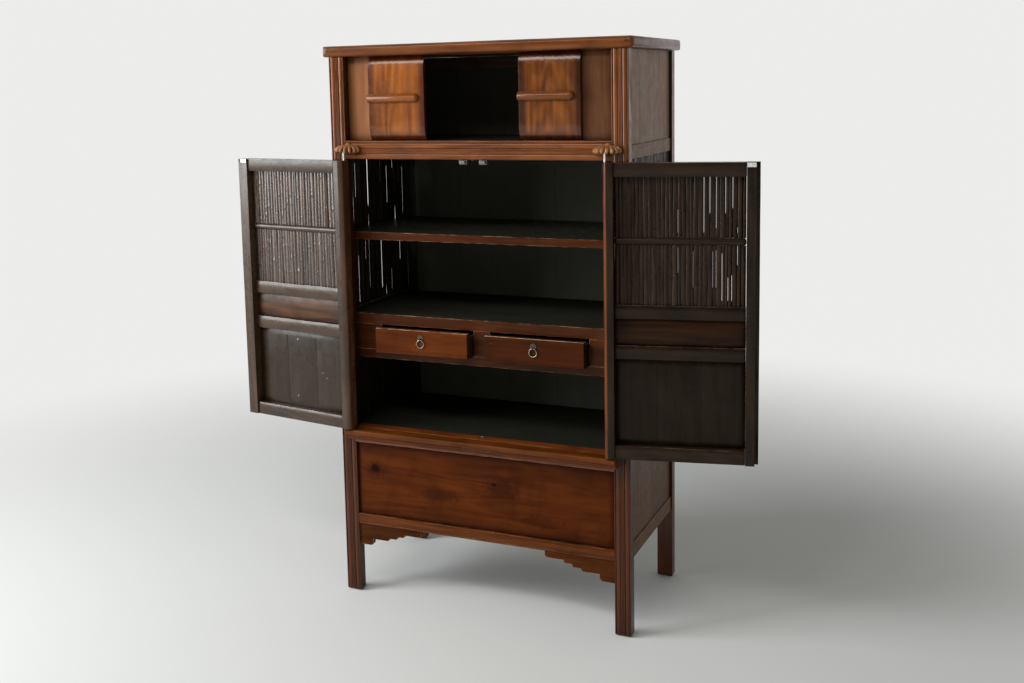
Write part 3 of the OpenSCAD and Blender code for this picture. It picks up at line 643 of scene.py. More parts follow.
# Height of the part that rolls back at the top and bottom, and how far back it goes
ROLL = 42 * MM
ROLL_BACK = 12 * MM
ROLL_POWER = 2.2
FLUTES = 9
FLUTE_POWER = 0.7
FLUTE_FADE = 30 * MM
SLIDER_STEPS = 44
SLIDER_COLUMNS = 54
SLIDER_SWAY = 0.5 * MM
SLIDER_SWAY_SIZE = 0.045
SLIDER_GAP = 1 * MM


def rolled_slider(word, flute, seed):
    """A sliding door with shallow flutes, nearly flat in the middle and rolled back at its top and bottom."""
    node = word + "_sliding_door"
    low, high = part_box(node)
    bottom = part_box("front_mid_rail")[1].z + SLIDER_GAP
    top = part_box("front_fixed_panels")[1].z - SLIDER_GAP
    bm = bmesh.new()
    columns = []
    for i in range(SLIDER_COLUMNS + 1):
        share = i / SLIDER_COLUMNS
        x = low.x + (high.x - low.x) * share
        hollow = flute * MM * (1.0 - abs(math.sin(math.pi * FLUTES * share)) ** FLUTE_POWER)
        column = []
        for k in range(SLIDER_STEPS + 1):
            z = bottom + (top - bottom) * k / SLIDER_STEPS
            edge = min(z - bottom, top - z)
            roll = ROLL_BACK * max(0.0, 1.0 - edge / ROLL) ** ROLL_POWER
            sway = SLIDER_SWAY * (0.5 + 0.5 * unevenness(Vector((x, 0, z)), SLIDER_SWAY_SIZE))
            shallow = hollow * min(1.0, edge / FLUTE_FADE)
            column.append(bm.verts.new((x, low.y + roll + sway + shallow, z)))
        column += [bm.verts.new((x, high.y, top)), bm.verts.new((x, high.y, bottom))]
        columns.append(column)
    count = len(columns[0])
    for left, right in zip(columns, columns[1:]):
        for k in range(count):
            j = (k + 1) % count
            bm.faces.new((left[k], right[k], right[j], left[j]))
    bm.faces.new(columns[0])
    bm.faces.new(columns[-1][::-1])
    turn_outward(bm)
    ease_arrises(bm, width=0.25 * MM, segments=1, wear_from=MOSTLY)
    write_grain(bm, "Z", seed=seed, rim=44, tone=painted_light_by_half)
    finish_piece(new_object(node + "_rolled", bm), MATERIALS[SLOTS[node]], [node])


# Materials

# Sockets of a node that mixes colours, where several have the same name
MIX_FACTOR = 0
MIX_FIRST = 6
MIX_SECOND = 7
MIX_RESULT = 2


class Graph:
    """A node tree, with short calls for the nodes used here."""

    def __init__(self, tree):
        self.tree = tree

    def put(self, target, value):
        if isinstance(value, bpy.types.NodeSocket):
            self.tree.links.new(value, target)
        else:
            target.default_value = value

    def add(self, kind, sockets=None, **settings):
        """A new node with its settings and with what goes into its sockets."""
        node = self.tree.nodes.new(kind)
        for key, value in settings.items():
            setattr(node, key, value)
        for socket, value in (sockets or {}).items():
            self.put(node.inputs[socket], value)
        return node

    def attribute(self, name, output="Fac"):
        return self.add("ShaderNodeAttribute", attribute_name=name).outputs[output]

    def place(self, axis, kind="Object"):
        """The point's own place along an axis, in metres, or else the direction in which it is seen."""
        whole = self.add("ShaderNodeTexCoord").outputs[kind]
        return self.add("ShaderNodeSeparateXYZ", {0: whole}).outputs[axis]

    def vector(self, operation, a, b, output="Vector"):
        second = "Scale" if operation == "SCALE" else 1
        return self.add("ShaderNodeVectorMath", {0: a, second: b}, operation=operation).outputs[output]

    def length(self, vector):
        return self.vector("LENGTH", vector, (0, 0, 0), "Value")

    def drawn_out(self, place, share):
        """Places on a board squeezed along the grain, which draws a pattern out along it."""
        return self.vector("MULTIPLY", place, (1, 1, share))

    def noise(self, vector, scale, detail=4.0, rough=0.55, distortion=0.0):
        sockets = {"Vector": vector, "Scale": scale, "Detail": detail, "Roughness": rough,
                   "Distortion": distortion}
        return self.add("ShaderNodeTexNoise", sockets).outputs["Fac"]

    def math(self, operation, a, b=0.0, clamp=False):
        return self.add("ShaderNodeMath", {0: a, 1: b}, operation=operation, use_clamp=clamp).outputs[0]

    def swing(self, value, reach):
        """A value between 0 and 1 made to swing about 0 over a whole reach."""
        return self.math("MULTIPLY", self.math("SUBTRACT", value, 0.5), reach)

    def steps(self, value, low, high, low_to=0.0, high_to=1.0):
        """A smooth change from one value to another between two limits."""
        sockets = {"Value": value, "From Min": low, "From Max": high, "To Min": low_to, "To Max": high_to}
        return self.add("ShaderNodeMapRange", sockets, interpolation_type="SMOOTHSTEP").outputs["Result"]

    def blend(self, factor, a, b, mode="MIX"):
        sockets = {MIX_FACTOR: factor, MIX_FIRST: a, MIX_SECOND: b}
        node = self.add("ShaderNodeMix", sockets, data_type="RGBA", blend_type=mode, clamp_factor=True)
        return node.outputs[MIX_RESULT]

    def darken(self, factor, colour, shade):
        return self.blend(factor, colour, rgb(*shade), "MULTIPLY")

    def bump(self, height, strength, distance):
        sockets = {"Height": height, "Strength": strength, "Distance": distance}
        return self.add("ShaderNodeBump", sockets).outputs["Normal"]

    def corners(self, distance):
        """How far a point lies in a corner or a groove, from 0 to 1, for the painted shade there."""
        node = self.add("ShaderNodeAmbientOcclusion", {"Distance": distance}, samples=8)
        return self.math("SUBTRACT", 1.0, node.outputs["AO"], clamp=True)


class MaterialGraph(Graph):
    """The nodes of a new material."""

    def __init__(self, name):
        self.material = bpy.data.materials.new(name)
        self.material.use_nodes = True
        super().__init__(self.material.node_tree)
        self.shader = self.tree.nodes["Principled BSDF"]

    def finish(self, sockets):
        """The material, with its shader's sockets filled."""
        for socket, value in sockets.items():
            self.put(self.shader.inputs[socket], value)
        return self.material


def rgb(r, g, b):
    return (r, g, b, 1.0)


# What a colour is multiplied by under dirt and painted shade, under the painted shade in a groove, at a knot
# and where smoke has clouded it
DIRT_AND_SHADE = (0.3, 0.22, 0.16)
GROOVE_SHADE = (0.3, 0.21, 0.16)
KNOT_SHADE = (0.18, 0.15, 0.14)
SMOKE_SHADE = (0.66, 0.6, 0.58)

# Near-black of the faces inside the closed part, of level faces and of the rear posts' fronts: partly their
# own black and partly painted shade
BLACK_AND_SHADE = (0.024, 0.024, 0.018)

# How far a knot pushes the streaks aside, in its half widths, and how far off that ends
KNOT_PUSH = 0.6
KNOT_REACH = 4.0


def spot_offset(g, grain, spot):
    """Vector from a spot on a board to the point, in the spot's own sizes."""
    across, along, wide, tall = [size * MM for size in spot]
    return g.vector("MULTIPLY", g.vector("SUBTRACT", grain, (across, 0, along)), (1 / wide, 0, 1 / tall))


def spot_mask(g, grain, spot, fray):
    """1 in the middle of a spot, 0 outside it, with a ragged edge."""
    reach = g.length(spot_offset(g, grain, spot))
    reach = g.math("ADD", reach, g.swing(g.noise(grain, 90, detail=3), fray))
    return g.steps(reach, low=0.45, high=1.1, low_to=1.0, high_to=0.0)


def bend_round(g, grain, knot):
    """Board coordinates pushed aside by a knot, so that the streaks flow round it."""
    offset = spot_offset(g, grain, knot)
    push = g.steps(g.length(offset), 0.0, KNOT_REACH, -KNOT_PUSH * knot[2] * MM, 0.0)
    return g.vector("ADD", grain, g.vector("SCALE", offset, push))


# Year rings between the least and the greatest height of the slow waves that they follow
YEAR_RINGS = 12.0

# Where a board's dark border starts, partly patina and partly painted shade, and how raggedly it follows the
# streaks
RIM_FROM = 0.25
RIM_FRAY = 0.9

# Reach of the painted shade in corners, depth of the open grain and the fibres' share of it
CORNER_SHADE_REACH = 30 * MM
GRAIN_DEPTH = 0.6 * MM
FIBRE_SHARE = 0.35

# Roughness of the clear coat, what polish takes off outside, and what bare wood adds
COAT_ROUGH = 0.14
POLISH = 0.1
BARE_ROUGH = 0.15


def year_rings(g, grain):
    """The year rings of a board: 0 in the dark middle of each and 1 at its pale edges."""
    slow = g.noise(g.drawn_out(grain, 0.14), 8, detail=2, rough=0.45, distortion=0.3)
    ring = g.math("FRACT", g.math("MULTIPLY", slow, YEAR_RINGS))
    return g.steps(g.math("ABSOLUTE", g.math("SUBTRACT", ring, 0.5)), 0.05, 0.5)


def bare_wood(g, board, cloud, wear, nicks):
    """Where the lacquer is worn off: along the arrises, in fine scratches and at single nicks."""
    worn_here = g.noise(g.drawn_out(board, 0.35), 70, detail=4, rough=0.6)
    worn_here = g.steps(worn_here, 0.5 - 0.25 * wear, 0.72 - 0.2 * wear)
    arris = g.math("MULTIPLY", g.attribute("arris"), worn_here)
    scratch = g.noise(g.drawn_out(board, 0.12), 240, detail=2, rough=0.5)
    scratch = g.math("MULTIPLY", g.steps(scratch, 0.74, 0.8), g.steps(cloud, 0.5, 0.65, 0.0, 0.4 * wear))
    bare = g.math("MAXIMUM", g.math("MULTIPLY", arris, min(1.0, 0.4 + wear)), scratch)
    for nick in nicks:
        bare = g.math("MAXIMUM", bare, spot_mask(g, board, nick, fray=0.9))
    return bare


def wood(name, light, deep, *, outer=None, streaks=60, rings=0.35, fibres=0.3, patches=0.4,
         rough=(0.28, 0.45), coat=0.5, specular=0.35, wear=0.35, worn=(0.4, 0.25, 0.14), corner_shade=0.65,
         border=0.0, tones=0.15, knots=(), smoke=(), nicks=(), relief=0.35, black_and_shade=None, foot_shade=0.0):
    """Lacquered wood: streaks and rings along the grain, cloudy patches, painted shade in corners and
    grooves, and worn arrises.
    """
    g = MaterialGraph(name)
    board = g.attribute("grain", "Vector")
    grain = board
    for knot in knots:
        grain = bend_round(g, grain, knot)
    streak = g.noise(g.drawn_out(grain, 0.07), streaks, detail=6, rough=0.62, distortion=0.4)
    fibre = g.noise(g.drawn_out(grain, 0.02), 700, detail=3, rough=0.6)
    cloud = g.noise(board, 7, detail=3, rough=0.55, distortion=0.5)
    ring = g.math("MULTIPLY", year_rings(g, grain), rings)
    tone = g.math("ADD", g.steps(streak, 0.3, 0.72, 0.0, 1.0 - rings), ring)
    colour = g.blend(tone, rgb(*deep), rgb(*light))
    if outer:
        lacquer = g.blend(tone, rgb(*outer[1]), rgb(*outer[0]))
        colour = g.blend(g.attribute("outside"), colour, lacquer)
    # Each board's own shade, and on the sliders, fixed panels, drawer fronts and bars painted light, paler on
    # the left half
    colour = g.vector("SCALE", colour, g.steps(g.attribute("tone"), 0.0, 1.0, 1.0 - tones, 1.0 + tones))
    colour = g.darken(g.steps(fibre, 0.5, 0.75, 0.0, fibres), colour, DIRT_AND_SHADE)
    colour = g.darken(g.steps(cloud, 0.45, 0.72, 0.0, patches), colour, DIRT_AND_SHADE)
    # Dark border, partly patina and partly painted shade
    if border:
        ragged = g.math("ADD", g.attribute("rim"), g.swing(streak, RIM_FRAY))
        colour = g.darken(g.steps(ragged, RIM_FROM, 1.0, 0.0, border), colour, DIRT_AND_SHADE)
    for knot in knots:
        colour = g.darken(spot_mask(g, board, knot, fray=0.8), colour, KNOT_SHADE)
    for spot in smoke:
        colour = g.darken(spot_mask(g, board, spot, fray=1.6), colour, SMOKE_SHADE)
    # Painted shade in corners and between parts, darker where a point is more hidden
    colour = g.darken(g.steps(g.corners(CORNER_SHADE_REACH), 0.15, 0.8, 0.0, corner_shade), colour, DIRT_AND_SHADE)
    # Painted shade in the grooves of reeds and beads
    colour = g.darken(g.attribute("groove"), colour, GROOVE_SHADE)
    # Own black and painted shade inside the closed part
    colour = g.blend(g.attribute("inside"), colour, rgb(*BLACK_AND_SHADE))
    if black_and_shade:
        colour = g.blend(g.steps(g.place("Y"), *black_and_shade), colour, rgb(*BLACK_AND_SHADE))
    # Painted shade, darker toward the bottom of the posts and sides
    if foot_shade:
        colour = g.darken(g.steps(g.place("Z"), FEET_TOP, FEET_LOW, 0.0, foot_shade), colour, DIRT_AND_SHADE)
    bare = bare_wood(g, board, cloud, wear, nicks)
    dull = g.steps(g.noise(board, 34, detail=4, rough=0.6), 0.3, 0.7, *rough)
    dull = g.math("SUBTRACT", dull, g.math("MULTIPLY", g.attribute("outside"), POLISH))
    open_grain = g.math("MULTIPLY", streak, 1 - FIBRE_SHARE)
    height = g.math("ADD", g.math("MULTIPLY", fibre, FIBRE_SHARE), open_grain)
    return g.finish({
        "Base Color": g.blend(bare, colour, rgb(*worn)),
        "Roughness": g.math("ADD", dull, g.math("MULTIPLY", bare, BARE_ROUGH), clamp=True),
        "Specular IOR Level": specular,
        "Coat Weight": coat,
        "Coat Roughness": COAT_ROUGH,
        "Normal": g.bump(height, relief, GRAIN_DEPTH),
    })


# Reach of the painted shade in a metal's corners and depth of the marks on metal and paint
METAL_SHADE_REACH = 4 * MM
MARK_DEPTH = 0.2 * MM


def metal(name, colour, rough, grime_colour):
    """Dull metal with finger marks and painted shade in its corners."""
    g = MaterialGraph(name)
    mark = g.noise(g.attribute("grain", "Vector"), 420, detail=4, rough=0.6)
    base = g.blend(g.steps(mark, 0.45, 0.75, 0.0, 0.4), rgb(*colour), rgb(*grime_colour))
    # Painted shade in the metal's corners
    base = g.darken(g.steps(g.corners(METAL_SHADE_REACH), 0.2, 0.8, 0.0, 0.8), base, DIRT_AND_SHADE)
    dull = g.steps(mark, 0.3, 0.7, *rough)
    return g.finish({"Base Color": base, "Metallic": 1.0, "Roughness": dull,
                     "Normal": g.bump(mark, 0.2, MARK_DEPTH)})


def enamel(name, colour, worn):
    """White painted plate with dull scuffs."""
    g = MaterialGraph(name)
    scuff = g.noise(g.attribute("grain", "Vector"), 520, detail=4, rough=0.6)
    base = g.blend(g.steps(scuff, 0.55, 0.75, 0.0, 0.6), rgb(*colour), rgb(*worn))
    dull = g.steps(scuff, 0.3, 0.7, 0.25, 0.5)
    return g.finish({"Base Color": base, "Roughness": dull, "Normal": g.bump(scuff, 0.15, MARK_DEPTH)})


# Spots on boards are given as across, along, half width across and half length along, in millimetres
PANEL_KNOTS = ((413, -365, 17, 20), (408, 46, 6, 10))
PANEL_SMOKE = ((405, -362, 30, 40), (395, 70, 30, 70), (352, -150, 20, 110), (310, 200, 20, 90))
LEFT_PANEL_NICKS = ((220, 810, 3, 3.5), (119, 711, 3.5, 1.5), (103, 695, 3, 1.5), (226, 624, 1.5, 4))
LACQUER_OUTSIDE = ((0.22, 0.06, 0.012), (0.1, 0.024, 0.005))
# Pale colour of worn arrises, partly bare wood and partly painted highlight
PALE_WEAR_AND_HIGHLIGHT = (0.5, 0.38, 0.28)

# Depths between which the lacquer of the shelf's front edge gives way to the interior's black and painted
# shade
SHELF_BLACK_AND_SHADE = (FRONT_Y + 37 * MM, FRONT_Y + 52 * MM)

ORANGE = wood("lacquer_orange", (0.25, 0.072, 0.011), (0.11, 0.028, 0.004), patches=0.35, specular=0.12,
              coat=0.35, worn=PALE_WEAR_AND_HIGHLIGHT)
RED = wood("lacquer_red", (0.23, 0.066, 0.013), (0.1, 0.026, 0.004), specular=0.15, coat=0.35, wear=0.6,
           foot_shade=0.78)
RAIL = wood("lacquer_rail", (0.2, 0.052, 0.008), (0.1, 0.025, 0.004), specular=0.08, coat=0.15, wear=0.8,
            worn=PALE_WEAR_AND_HIGHLIGHT)
SILL = wood("lacquer_sill", (0.3, 0.07, 0.01), (0.14, 0.03, 0.005), specular=0.2, coat=0.5, wear=0.6)
CARVED = wood("lacquer_carved", (0.42, 0.18, 0.06), (0.2, 0.07, 0.02), rings=0.1, wear=0.6, corner_shade=1.0,
              specular=0.25, coat=0.6)
PANEL = wood("lacquer_panel", (0.105, 0.023, 0.002), (0.052, 0.01, 0.001), streaks=40, rings=0.3, patches=0.5,
             knots=PANEL_KNOTS, smoke=PANEL_SMOKE, border=0.7, specular=0.05, coat=0.04)
APRON = wood("lacquer_apron", (0.1, 0.026, 0.004), (0.05, 0.013, 0.002), specular=0.05, coat=0.05, wear=0.5)
FIXED = wood("lacquer_fixed", (0.25, 0.1, 0.04), (0.17, 0.064, 0.023), streaks=50, wear=0.2, border=0.3,
             tones=0.4, specular=0.12, coat=0.12)
SHELF = wood("lacquer_shelf", (0.1, 0.024, 0.004), (0.05, 0.012, 0.002), black_and_shade=SHELF_BLACK_AND_SHADE, specular=0.06,
             coat=0.1)
SLIDER = wood("lacquer_slider", (0.34, 0.1, 0.012), (0.13, 0.031, 0.003), streaks=45, rings=0.45,
              rough=(0.2, 0.34), border=1.0, wear=0.2, tones=0.26, specular=0.2, coat=0.6, worn=PALE_WEAR_AND_HIGHLIGHT)
BAR = wood("lacquer_bar", (0.25, 0.07, 0.01), (0.12, 0.03, 0.004), rough=(0.2, 0.34), wear=0.3, tones=0.2,
           specular=0.15, coat=0.35, worn=PALE_WEAR_AND_HIGHLIGHT)
DRAWER = wood("lacquer_drawer", (0.11, 0.025, 0.003), (0.062, 0.013, 0.002), rings=0.2, wear=0.7, tones=0.33,
              specular=0.05, coat=0.05, worn=PALE_WEAR_AND_HIGHLIGHT)
SIDE = wood("side_boards", (0.27, 0.145, 0.075), (0.2, 0.105, 0.054), streaks=40, rings=0.15,
            rough=(0.4, 0.55), coat=0.05, specular=0.2, relief=0.12, foot_shade=0.72, patches=0.2, corner_shade=0.5,
            tones=0.06)
SIDE_RAIL = wood("side_rails", (0.26, 0.125, 0.055), (0.15, 0.07, 0.032), rough=(0.4, 0.55), coat=0.05,
                 specular=0.2, foot_shade=0.6)
INTERIOR = dict(rough=(0.6, 0.8), coat=0.0, specular=0.1, wear=0.0, relief=0.1, corner_shade=0.3, tones=0.03,
                patches=0.15, fibres=0.1)
DARK = wood("interior_dark", (0.025, 0.0245, 0.0175), (0.02, 0.0195, 0.014), **INTERIOR)
BARE_BACK = ((0.17, 0.1, 0.055), (0.1, 0.056, 0.03))
BACK = wood("interior_back", (0.09, 0.088, 0.067), (0.084, 0.082, 0.062), outer=BARE_BACK, **INTERIOR)
BACK_RAIL = wood("back_rail", *BARE_BACK, rough=(0.5, 0.7), coat=0.0, specular=0.15)


def door_woods(word, *, gloss, cane_gloss, depth, warm, worn, variety, nicks=()):
    """The dark lacquers of one door by slot: frame, narrow panel, large panel and canes."""
    # depth darkens every colour, painted shade on the right door's copy
    def colour(*values):
        return tuple(value * depth for value in values)

    shared = dict(outer=LACQUER_OUTSIDE, coat=0.0, worn=worn)
    warm_light = colour(0.15 * warm, 0.056 * warm, 0.017 * warm)
    return {
        "door_inside": wood(
            f"{word}_door_frame", colour(0.075, 0.041, 0.019), colour(0.03, 0.017, 0.009),
            rough=(0.22, 0.34), specular=gloss, wear=0.5, relief=0.15, **shared),
        "door_panel_warm": wood(
            f"{word}_door_narrow", warm_light, colour(0.036, 0.016, 0.007),
            rough=(0.3, 0.45), specular=gloss * 0.6, relief=0.2, **shared),
        "door_panel_dark": wood(
            f"{word}_door_large", colour(0.052, 0.03, 0.013), colour(0.027, 0.015, 0.007),
            rough=(0.24, 0.36), specular=gloss * 0.8, relief=0.12, tones=variety * 0.7, nicks=nicks,
            **shared),
        "cane_door": wood(
            f"{word}_door_canes", colour(0.11, 0.06, 0.033), colour(0.03, 0.018, 0.01), streaks=160,
            rings=0.15, rough=(0.22, 0.36), specular=cane_gloss, relief=0.04, wear=0.05, tones=variety,
            **shared),
    }


# The right door's woods are the left's made darker and duller: painted shade
DOOR_WOODS = {
    # The left door's pale grey worn colour is partly wear and partly painted sheen
    -1: door_woods("left", gloss=0.47, cane_gloss=1.0, depth=1.0, warm=1.0, worn=(0.36, 0.35, 0.34),
                   variety=0.5, nicks=LEFT_PANEL_NICKS),
    1: door_woods("right", gloss=0.17, cane_gloss=0.14, depth=0.45, warm=0.7, worn=(0.1, 0.085, 0.07),
                  variety=0.15),
}
CANE_DARK = wood("cane_dark", (0.045, 0.028, 0.018), (0.014, 0.009, 0.006), streaks=160, rings=0.15,
                 rough=(0.4, 0.65), coat=0.0, specular=0.25, tones=0.4)
STEEL = metal("steel", (0.62, 0.62, 0.6), (0.25, 0.45), (0.2, 0.18, 0.15))
TIN = metal("dull_steel", (0.2, 0.2, 0.19), (0.4, 0.6), (0.08, 0.075, 0.065))
PULL = metal("pull_metal", (0.36, 0.33, 0.28), (0.22, 0.42), (0.08, 0.065, 0.05))
PULL_PLATE = metal("pull_plate_metal", (0.11, 0.085, 0.06), (0.35, 0.55), (0.04, 0.03, 0.02))
STRIKE = enamel("strike_plate", (0.8, 0.8, 0.78), (0.35, 0.33, 0.3))

MATERIALS = {
    "lacquer_orange": ORANGE, "lacquer_red": RED, "lacquer_carved": CARVED, "lacquer_panel": PANEL,
    "lacquer_fixed": FIXED, "lacquer_shelf": SHELF, "lacquer_slider": SLIDER, "lacquer_drawer": DRAWER,
    "side_boards": SIDE, "side_rails": SIDE_RAIL, "interior_dark": DARK, "cane_dark": CANE_DARK,
    "steel": STEEL, "strike_plate": STRIKE, "pull_metal": PULL,
}


# Carcass

dress("top_board", "X", ease=0, cuts=[("X", 0.02)], wave=0.8, wave_size=0.07, seed=1)
for post in ("front_post_left", "front_post_right"):
    dress(post, "Z", ease=0.5, cuts=[("Z", 0.04)], wave=0.4, seed=2, grooves=True)
dress("rear_posts", "Z", ease=1.5, cuts=[("Z", 0.04)], wave=0.4, seed=3, inside=True)
dress("front_mid_rail", "X", ease=0.5, cuts=[("X", 0.03)], wave=0.4, seed=4, grooves=True)
dress("sill_rail", "X", SILL, seed=5)
dress("sill_moulding", "X", RAIL, ease=0.9, cuts=[("X", 0.02)], wave=0.6, wave_size=0.05, seed=6)
dress("lower_front_panel", "X", ease=0.8, cuts=[("X", 0.025), ("Z", 0.025)], wave=0.4, wave_size=0.2, seed=7,
      rim=34, shifted=False)
dress("lower_front_rail", "X", RAIL, ease=1.3, wear_from=PARTLY, cuts=[("X", 0.02)], wave=0.6, wave_size=0.05,
      seed=8)
dress("apron_brackets", "X", APRON, ease=1.0, seed=9)
lotus_brackets()
dress("front_fixed_panels", "Z", ease=0.8, cuts=[("X", 0.025), ("Z", 0.03)], seed=11, rim=30,
      tone=painted_light_by_half)
for number, board in enumerate(("upper_floor", "floor_board", "bottom_board", "drawer_unit_top",
                                "drawer_unit_floor", "drawer_unit_frame", "shelf")):
    dress(board, "X", seed=12 + number)
dress("back_boards", "Z", BACK, ease=0.8, seed=21, back=True)
dress("back_rails", "X", BACK_RAIL, seed=15)
dress("side_upper_panels", "Z", ease=0.6, seed=22, inside=True)
dress("side_lower_panels", "Z", ease=0.6, seed=23, inside=True)
dress("side_rails", "Y", seed=24, inside=True)
dress("door_catches", "X", TIN, ease=0.4, seed=27)

# Gaps between canes are given as place along, lower end, upper end and width, in millimetres
SIDE_CANES = 32
SIDE_CANE_T = 3 * MM
LEFT_SIDE_GAPS = (
    (114, 1255, 1373, 2.3), (133, 1255, 1372, 2.3), (193, 1228, 1381, 2.4), (277, 1290, 1376, 2.4),
    (273, 1172, 1254, 2.1), (322, 1217, 1350, 2.3), (363, 1330, 1370, 1.9), (407, 1276, 1367, 2.1),
    (432, 1172, 1341, 2.1), (119, 965, 1077, 1.9), (130, 915, 1053, 1.9), (167, 1048, 1119, 1.9),
    (190, 954, 1122, 2.3), (235, 1038, 1110, 1.9), (271, 940, 1112, 2.3), (338, 921, 1002, 1.9),
    (385, 920, 1039, 2.1), (402, 1014, 1089, 1.9), (440, 1032, 1084, 2.1),
)
RIGHT_SIDE_GAPS = (
    (122, 1190, 1330, 2.1), (190, 1250, 1375, 1.8), (268, 1180, 1290, 2.1), (333, 1230, 1370, 1.8),
    (390, 1200, 1300, 2.1), (110, 930, 1060, 1.8), (178, 1000, 1120, 2.1), (240, 920, 1010, 1.8),
    (301, 950, 1100, 2.1), (371, 1000, 1090, 1.8),
)

for word, side, gaps, seed in (("left", -1, LEFT_SIDE_GAPS, 25), ("right", 1, RIGHT_SIDE_GAPS, 26)):
    cane_rows(f"side_slats_{word}", CANE_DARK, side_matrix(side), SIDE_CANES, gaps, SIDE_CANE_T, seed)

# Doors

DOOR_CANES = 31
DOOR_CANE_T = 6.5 * MM
DOOR_GAPS = {
    -1: ((362, 1196, 1222, 0.9), (366, 1070, 1095, 0.9)),
    1: ((269, 1190, 1350, 0.8), (285, 1242, 1350, 0.8), (302, 1201, 1350, 0.6), (327, 1242, 1350, 0.7),
        (346, 1256, 1350, 0.8), (359, 1188, 1212, 0.5), (199, 1189, 1263, 0.4), (199, 1075, 1159, 0.3),
        (293, 1035, 1146, 0.3), (302, 1035, 1151, 0.4), (318, 1002, 1141, 0.8), (334, 1002, 1074, 0.8),
        (344, 1002, 1080, 0.8), (359, 1102, 1160, 0.6), (240, 1034, 1145, 0.2)),
}

# Places of the joints between the large panel's boards, in millimetres from the pivot
PANEL_JOINTS = (129, 249)

# How much of the outer lacquer reaches round each door's hinge edge
HINGE_LACQUER = {-1: 0.25, 1: 1.0}

for side, word in ((-1, "left"), (1, "right")):
    place = door_matrix(side)
    woods = DOOR_WOODS[side]
    for piece, hinge in (("hinge_stile", HINGE_LACQUER[side]), ("free_stile", 0.0)):
        dress(f"{word}_door_{piece}", "Z", woods["door_inside"], place=place, ease=0.6 - 0.3 * side,
              cuts=[("Z", 0.03)], wave=0.6, wave_size=0.05, wear_from=PARTLY, hinge=hinge, seed=30 + side)
    dress(f"{word}_door_rails", "X", woods["door_inside"], place=place, ease=1.1, cuts=[("X", 0.01)],
          wave=0.35, wave_size=0.06, wear_from=0.1, chamfer=(11, 2.6), seed=33 + side)
    dress(f"{word}_door_thin_rail", "X", woods["door_inside"], place=place, ease=6.5, segments=5,
          cuts=[("X", 0.02)], wave=0.6, wave_size=0.04, wear_from=0.6, seed=36 + side)
    dress(f"{word}_door_narrow_panel", "X", woods["door_panel_warm"], place=place, ease=1.5,
          cuts=[("X", 0.01)], wear_from=PARTLY, chamfer=(9, 2.4), seed=39 + side)
    dress(f"{word}_door_large_panel", "Z", woods["door_panel_dark"], place=place, wear_from=PARTLY,
          seed=42 + side, shifted=False, strips=PANEL_JOINTS)
    cane_rows(f"{word}_door_slats", woods["cane_door"], place, DOOR_CANES, DOOR_GAPS[side], DOOR_CANE_T,
              45 + side)
    for piece in ("pivots", "strike"):
        dress(f"{word}_door_{piece}", "Z", place=place, ease=0.15, seed=50 + side)

# Drawers and sliding doors

for word, flute, seed in (("left", 0.25, 65), ("right", 0.8, 67)):
    dress(f"{word}_drawer_front", "X", wear_from=PARTLY, seed=60, tone=painted_light_by_half)
    dress(f"{word}_drawer_box", "Y", ease=0.8, seed=61)
    dress(f"{word}_drawer_bottom", "X", ease=0, seed=62)
    dress(f"{word}_pull_plate", "X", PULL_PLATE, ease=0, seed=63)
    dress(f"{word}_pull_ring", "X", ease=0, seed=64)
    rolled_slider(word, flute, seed)
    dress(f"{word}_sliding_door_bar", "X", BAR, ease=0.8, seed=66, tone=painted_light_by_half)


# Stage

PALE = (0.84, 0.84, 0.83)

# Brightness out in front, where 1 is that behind the cabinet, and the directions between which it changes
FRONT_DIM = 0.1
DIM_FROM = -0.55
BRIGHT_FROM = 0.25

# Soft light that falls on the cabinet from all round
FILL_COLOUR = (0.96, 0.98, 0.94)
FILL = 0.27

# Distances between which the floor fades into the background, in metres
FADE_FROM = 1.2
FADE_TO = 3.6


def looked_at(g):
    """1 for what the camera, metal and glass see, 0 for the light that falls on the object."""
    path = g.add("ShaderNodeLightPath").outputs
    seen = g.math("MAXIMUM", path["Is Camera Ray"], path["Is Glossy Ray"])
    return g.math("MAXIMUM", seen, path["Is Transmission Ray"])


def build_world():
    """Pale behind the cabinet and to its sides, and dimmer out in front, like a room seen past the camera."""
    world = bpy.data.worlds.new("studio")
    bpy.context.scene.world = world
    world.use_nodes = True
    g = Graph(world.node_tree)
    g.tree.nodes.clear()
    brightness = g.steps(g.place("Y", "Generated"), DIM_FROM, BRIGHT_FROM, FRONT_DIM, 1.0)
    straight = g.add("ShaderNodeLightPath").outputs["Is Camera Ray"]
    strength = g.math("MAXIMUM", straight, brightness)
    seen = g.add("ShaderNodeBackground", {"Color": rgb(*PALE), "Strength": strength})
    fill = g.add("ShaderNodeBackground", {"Color": rgb(*FILL_COLOUR), "Strength": FILL})
    mix = g.add("ShaderNodeMixShader", {0: looked_at(g), 1: fill.outputs[0], 2: seen.outputs[0]})
    g.add("ShaderNodeOutputWorld", {"Surface": mix.outputs[0]})


def area_light(name, place, target, size, power, colour):
    """A soft rectangular light at a place, turned toward a target."""
    data = bpy.data.lights.new(name, "AREA")
    data.shape = "RECTANGLE"
    data.size, data.size_y = size
    data.energy = power
    data.color = colour
    lamp = collection_add(bpy.data.objects.new(name, data))
    lamp.location = place
    lamp.rotation_euler = (Vector(target) - Vector(place)).to_track_quat("-Z", "Y").to_euler()


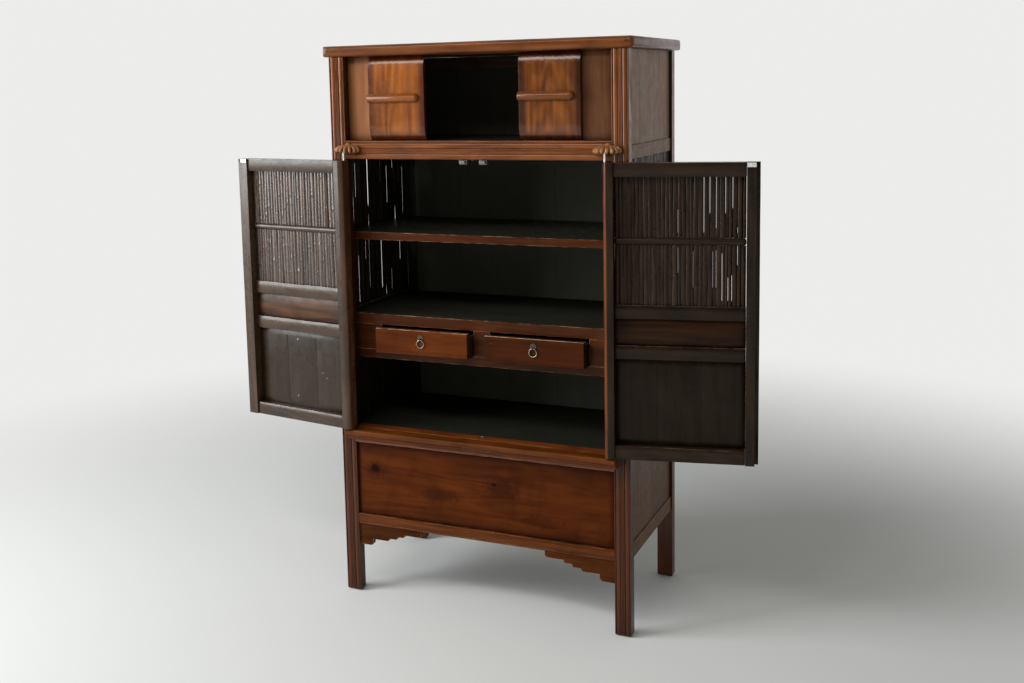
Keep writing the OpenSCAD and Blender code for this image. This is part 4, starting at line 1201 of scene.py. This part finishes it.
def build_floor():
    """A pale floor that keeps the cabinet's shadow near it and fades into the background further out."""
    bm = bmesh.new()
    bmesh.ops.create_circle(bm, cap_ends=True, radius=30, segments=96)
    floor = new_object("floor", bm)
    g = MaterialGraph("floor_pale")
    floor.data.materials.append(g.finish({
        "Base Color": rgb(*PALE), "Roughness": 0.85, "Specular IOR Level": 0.2}))
    place = g.add("ShaderNodeTexCoord").outputs["Object"]
    far = g.math("MULTIPLY", g.steps(g.length(place), FADE_FROM, FADE_TO), looked_at(g))
    glow = g.add("ShaderNodeEmission", {"Color": rgb(*PALE)})
    mix = g.add("ShaderNodeMixShader", {0: far, 1: g.shader.outputs[0], 2: glow.outputs[0]})
    g.put(g.tree.nodes["Material Output"].inputs["Surface"], mix.outputs[0])


def build_camera():
    """Camera at the photograph's viewpoint, fitted to the cabinet's edges."""
    picture_w, picture_h = 1024, 683
    focal_px, centre_x, centre_y = 1178.2, 483.9, 235.0
    sensor = 36.0
    yaw, pitch, roll = 0.4194, 0.1276, 0.0212
    eye = Vector((1.4283, -3.1308 + FRONT_Y, 1.6088))
    forward = Vector((-math.sin(yaw) * math.cos(pitch), math.cos(yaw) * math.cos(pitch), -math.sin(pitch)))
    level = Vector((math.cos(yaw), math.sin(yaw), 0))
    down = forward.cross(level)
    right = math.cos(roll) * level + math.sin(roll) * down
    below = -math.sin(roll) * level + math.cos(roll) * down
    data = bpy.data.cameras.new("camera")
    data.sensor_width = sensor
    data.lens = sensor * focal_px / picture_w
    data.shift_x = (picture_w / 2 - centre_x) / picture_w
    data.shift_y = -(picture_h / 2 - centre_y) / picture_w
    camera = collection_add(bpy.data.objects.new("camera", data))
    turn = Matrix((right, -below, -forward)).transposed().to_4x4()
    camera.matrix_world = Matrix.Translation(eye) @ turn
    bpy.context.scene.camera = camera


build_world()
build_floor()
build_camera()
area_light("window", place=(-3.44, -2.46, 2.25), target=(-0.2, -0.2, 1.15), size=(2.1, 2.8), power=165,
           colour=(0.95, 0.985, 1.0))
area_light("ceiling", place=(-0.5, -2.3, 3.0), target=(0, 0, 1.0), size=(2.4, 0.5), power=30,
           colour=(1.0, 0.97, 0.93))

scene = bpy.context.scene
scene.view_settings.view_transform = "Standard"
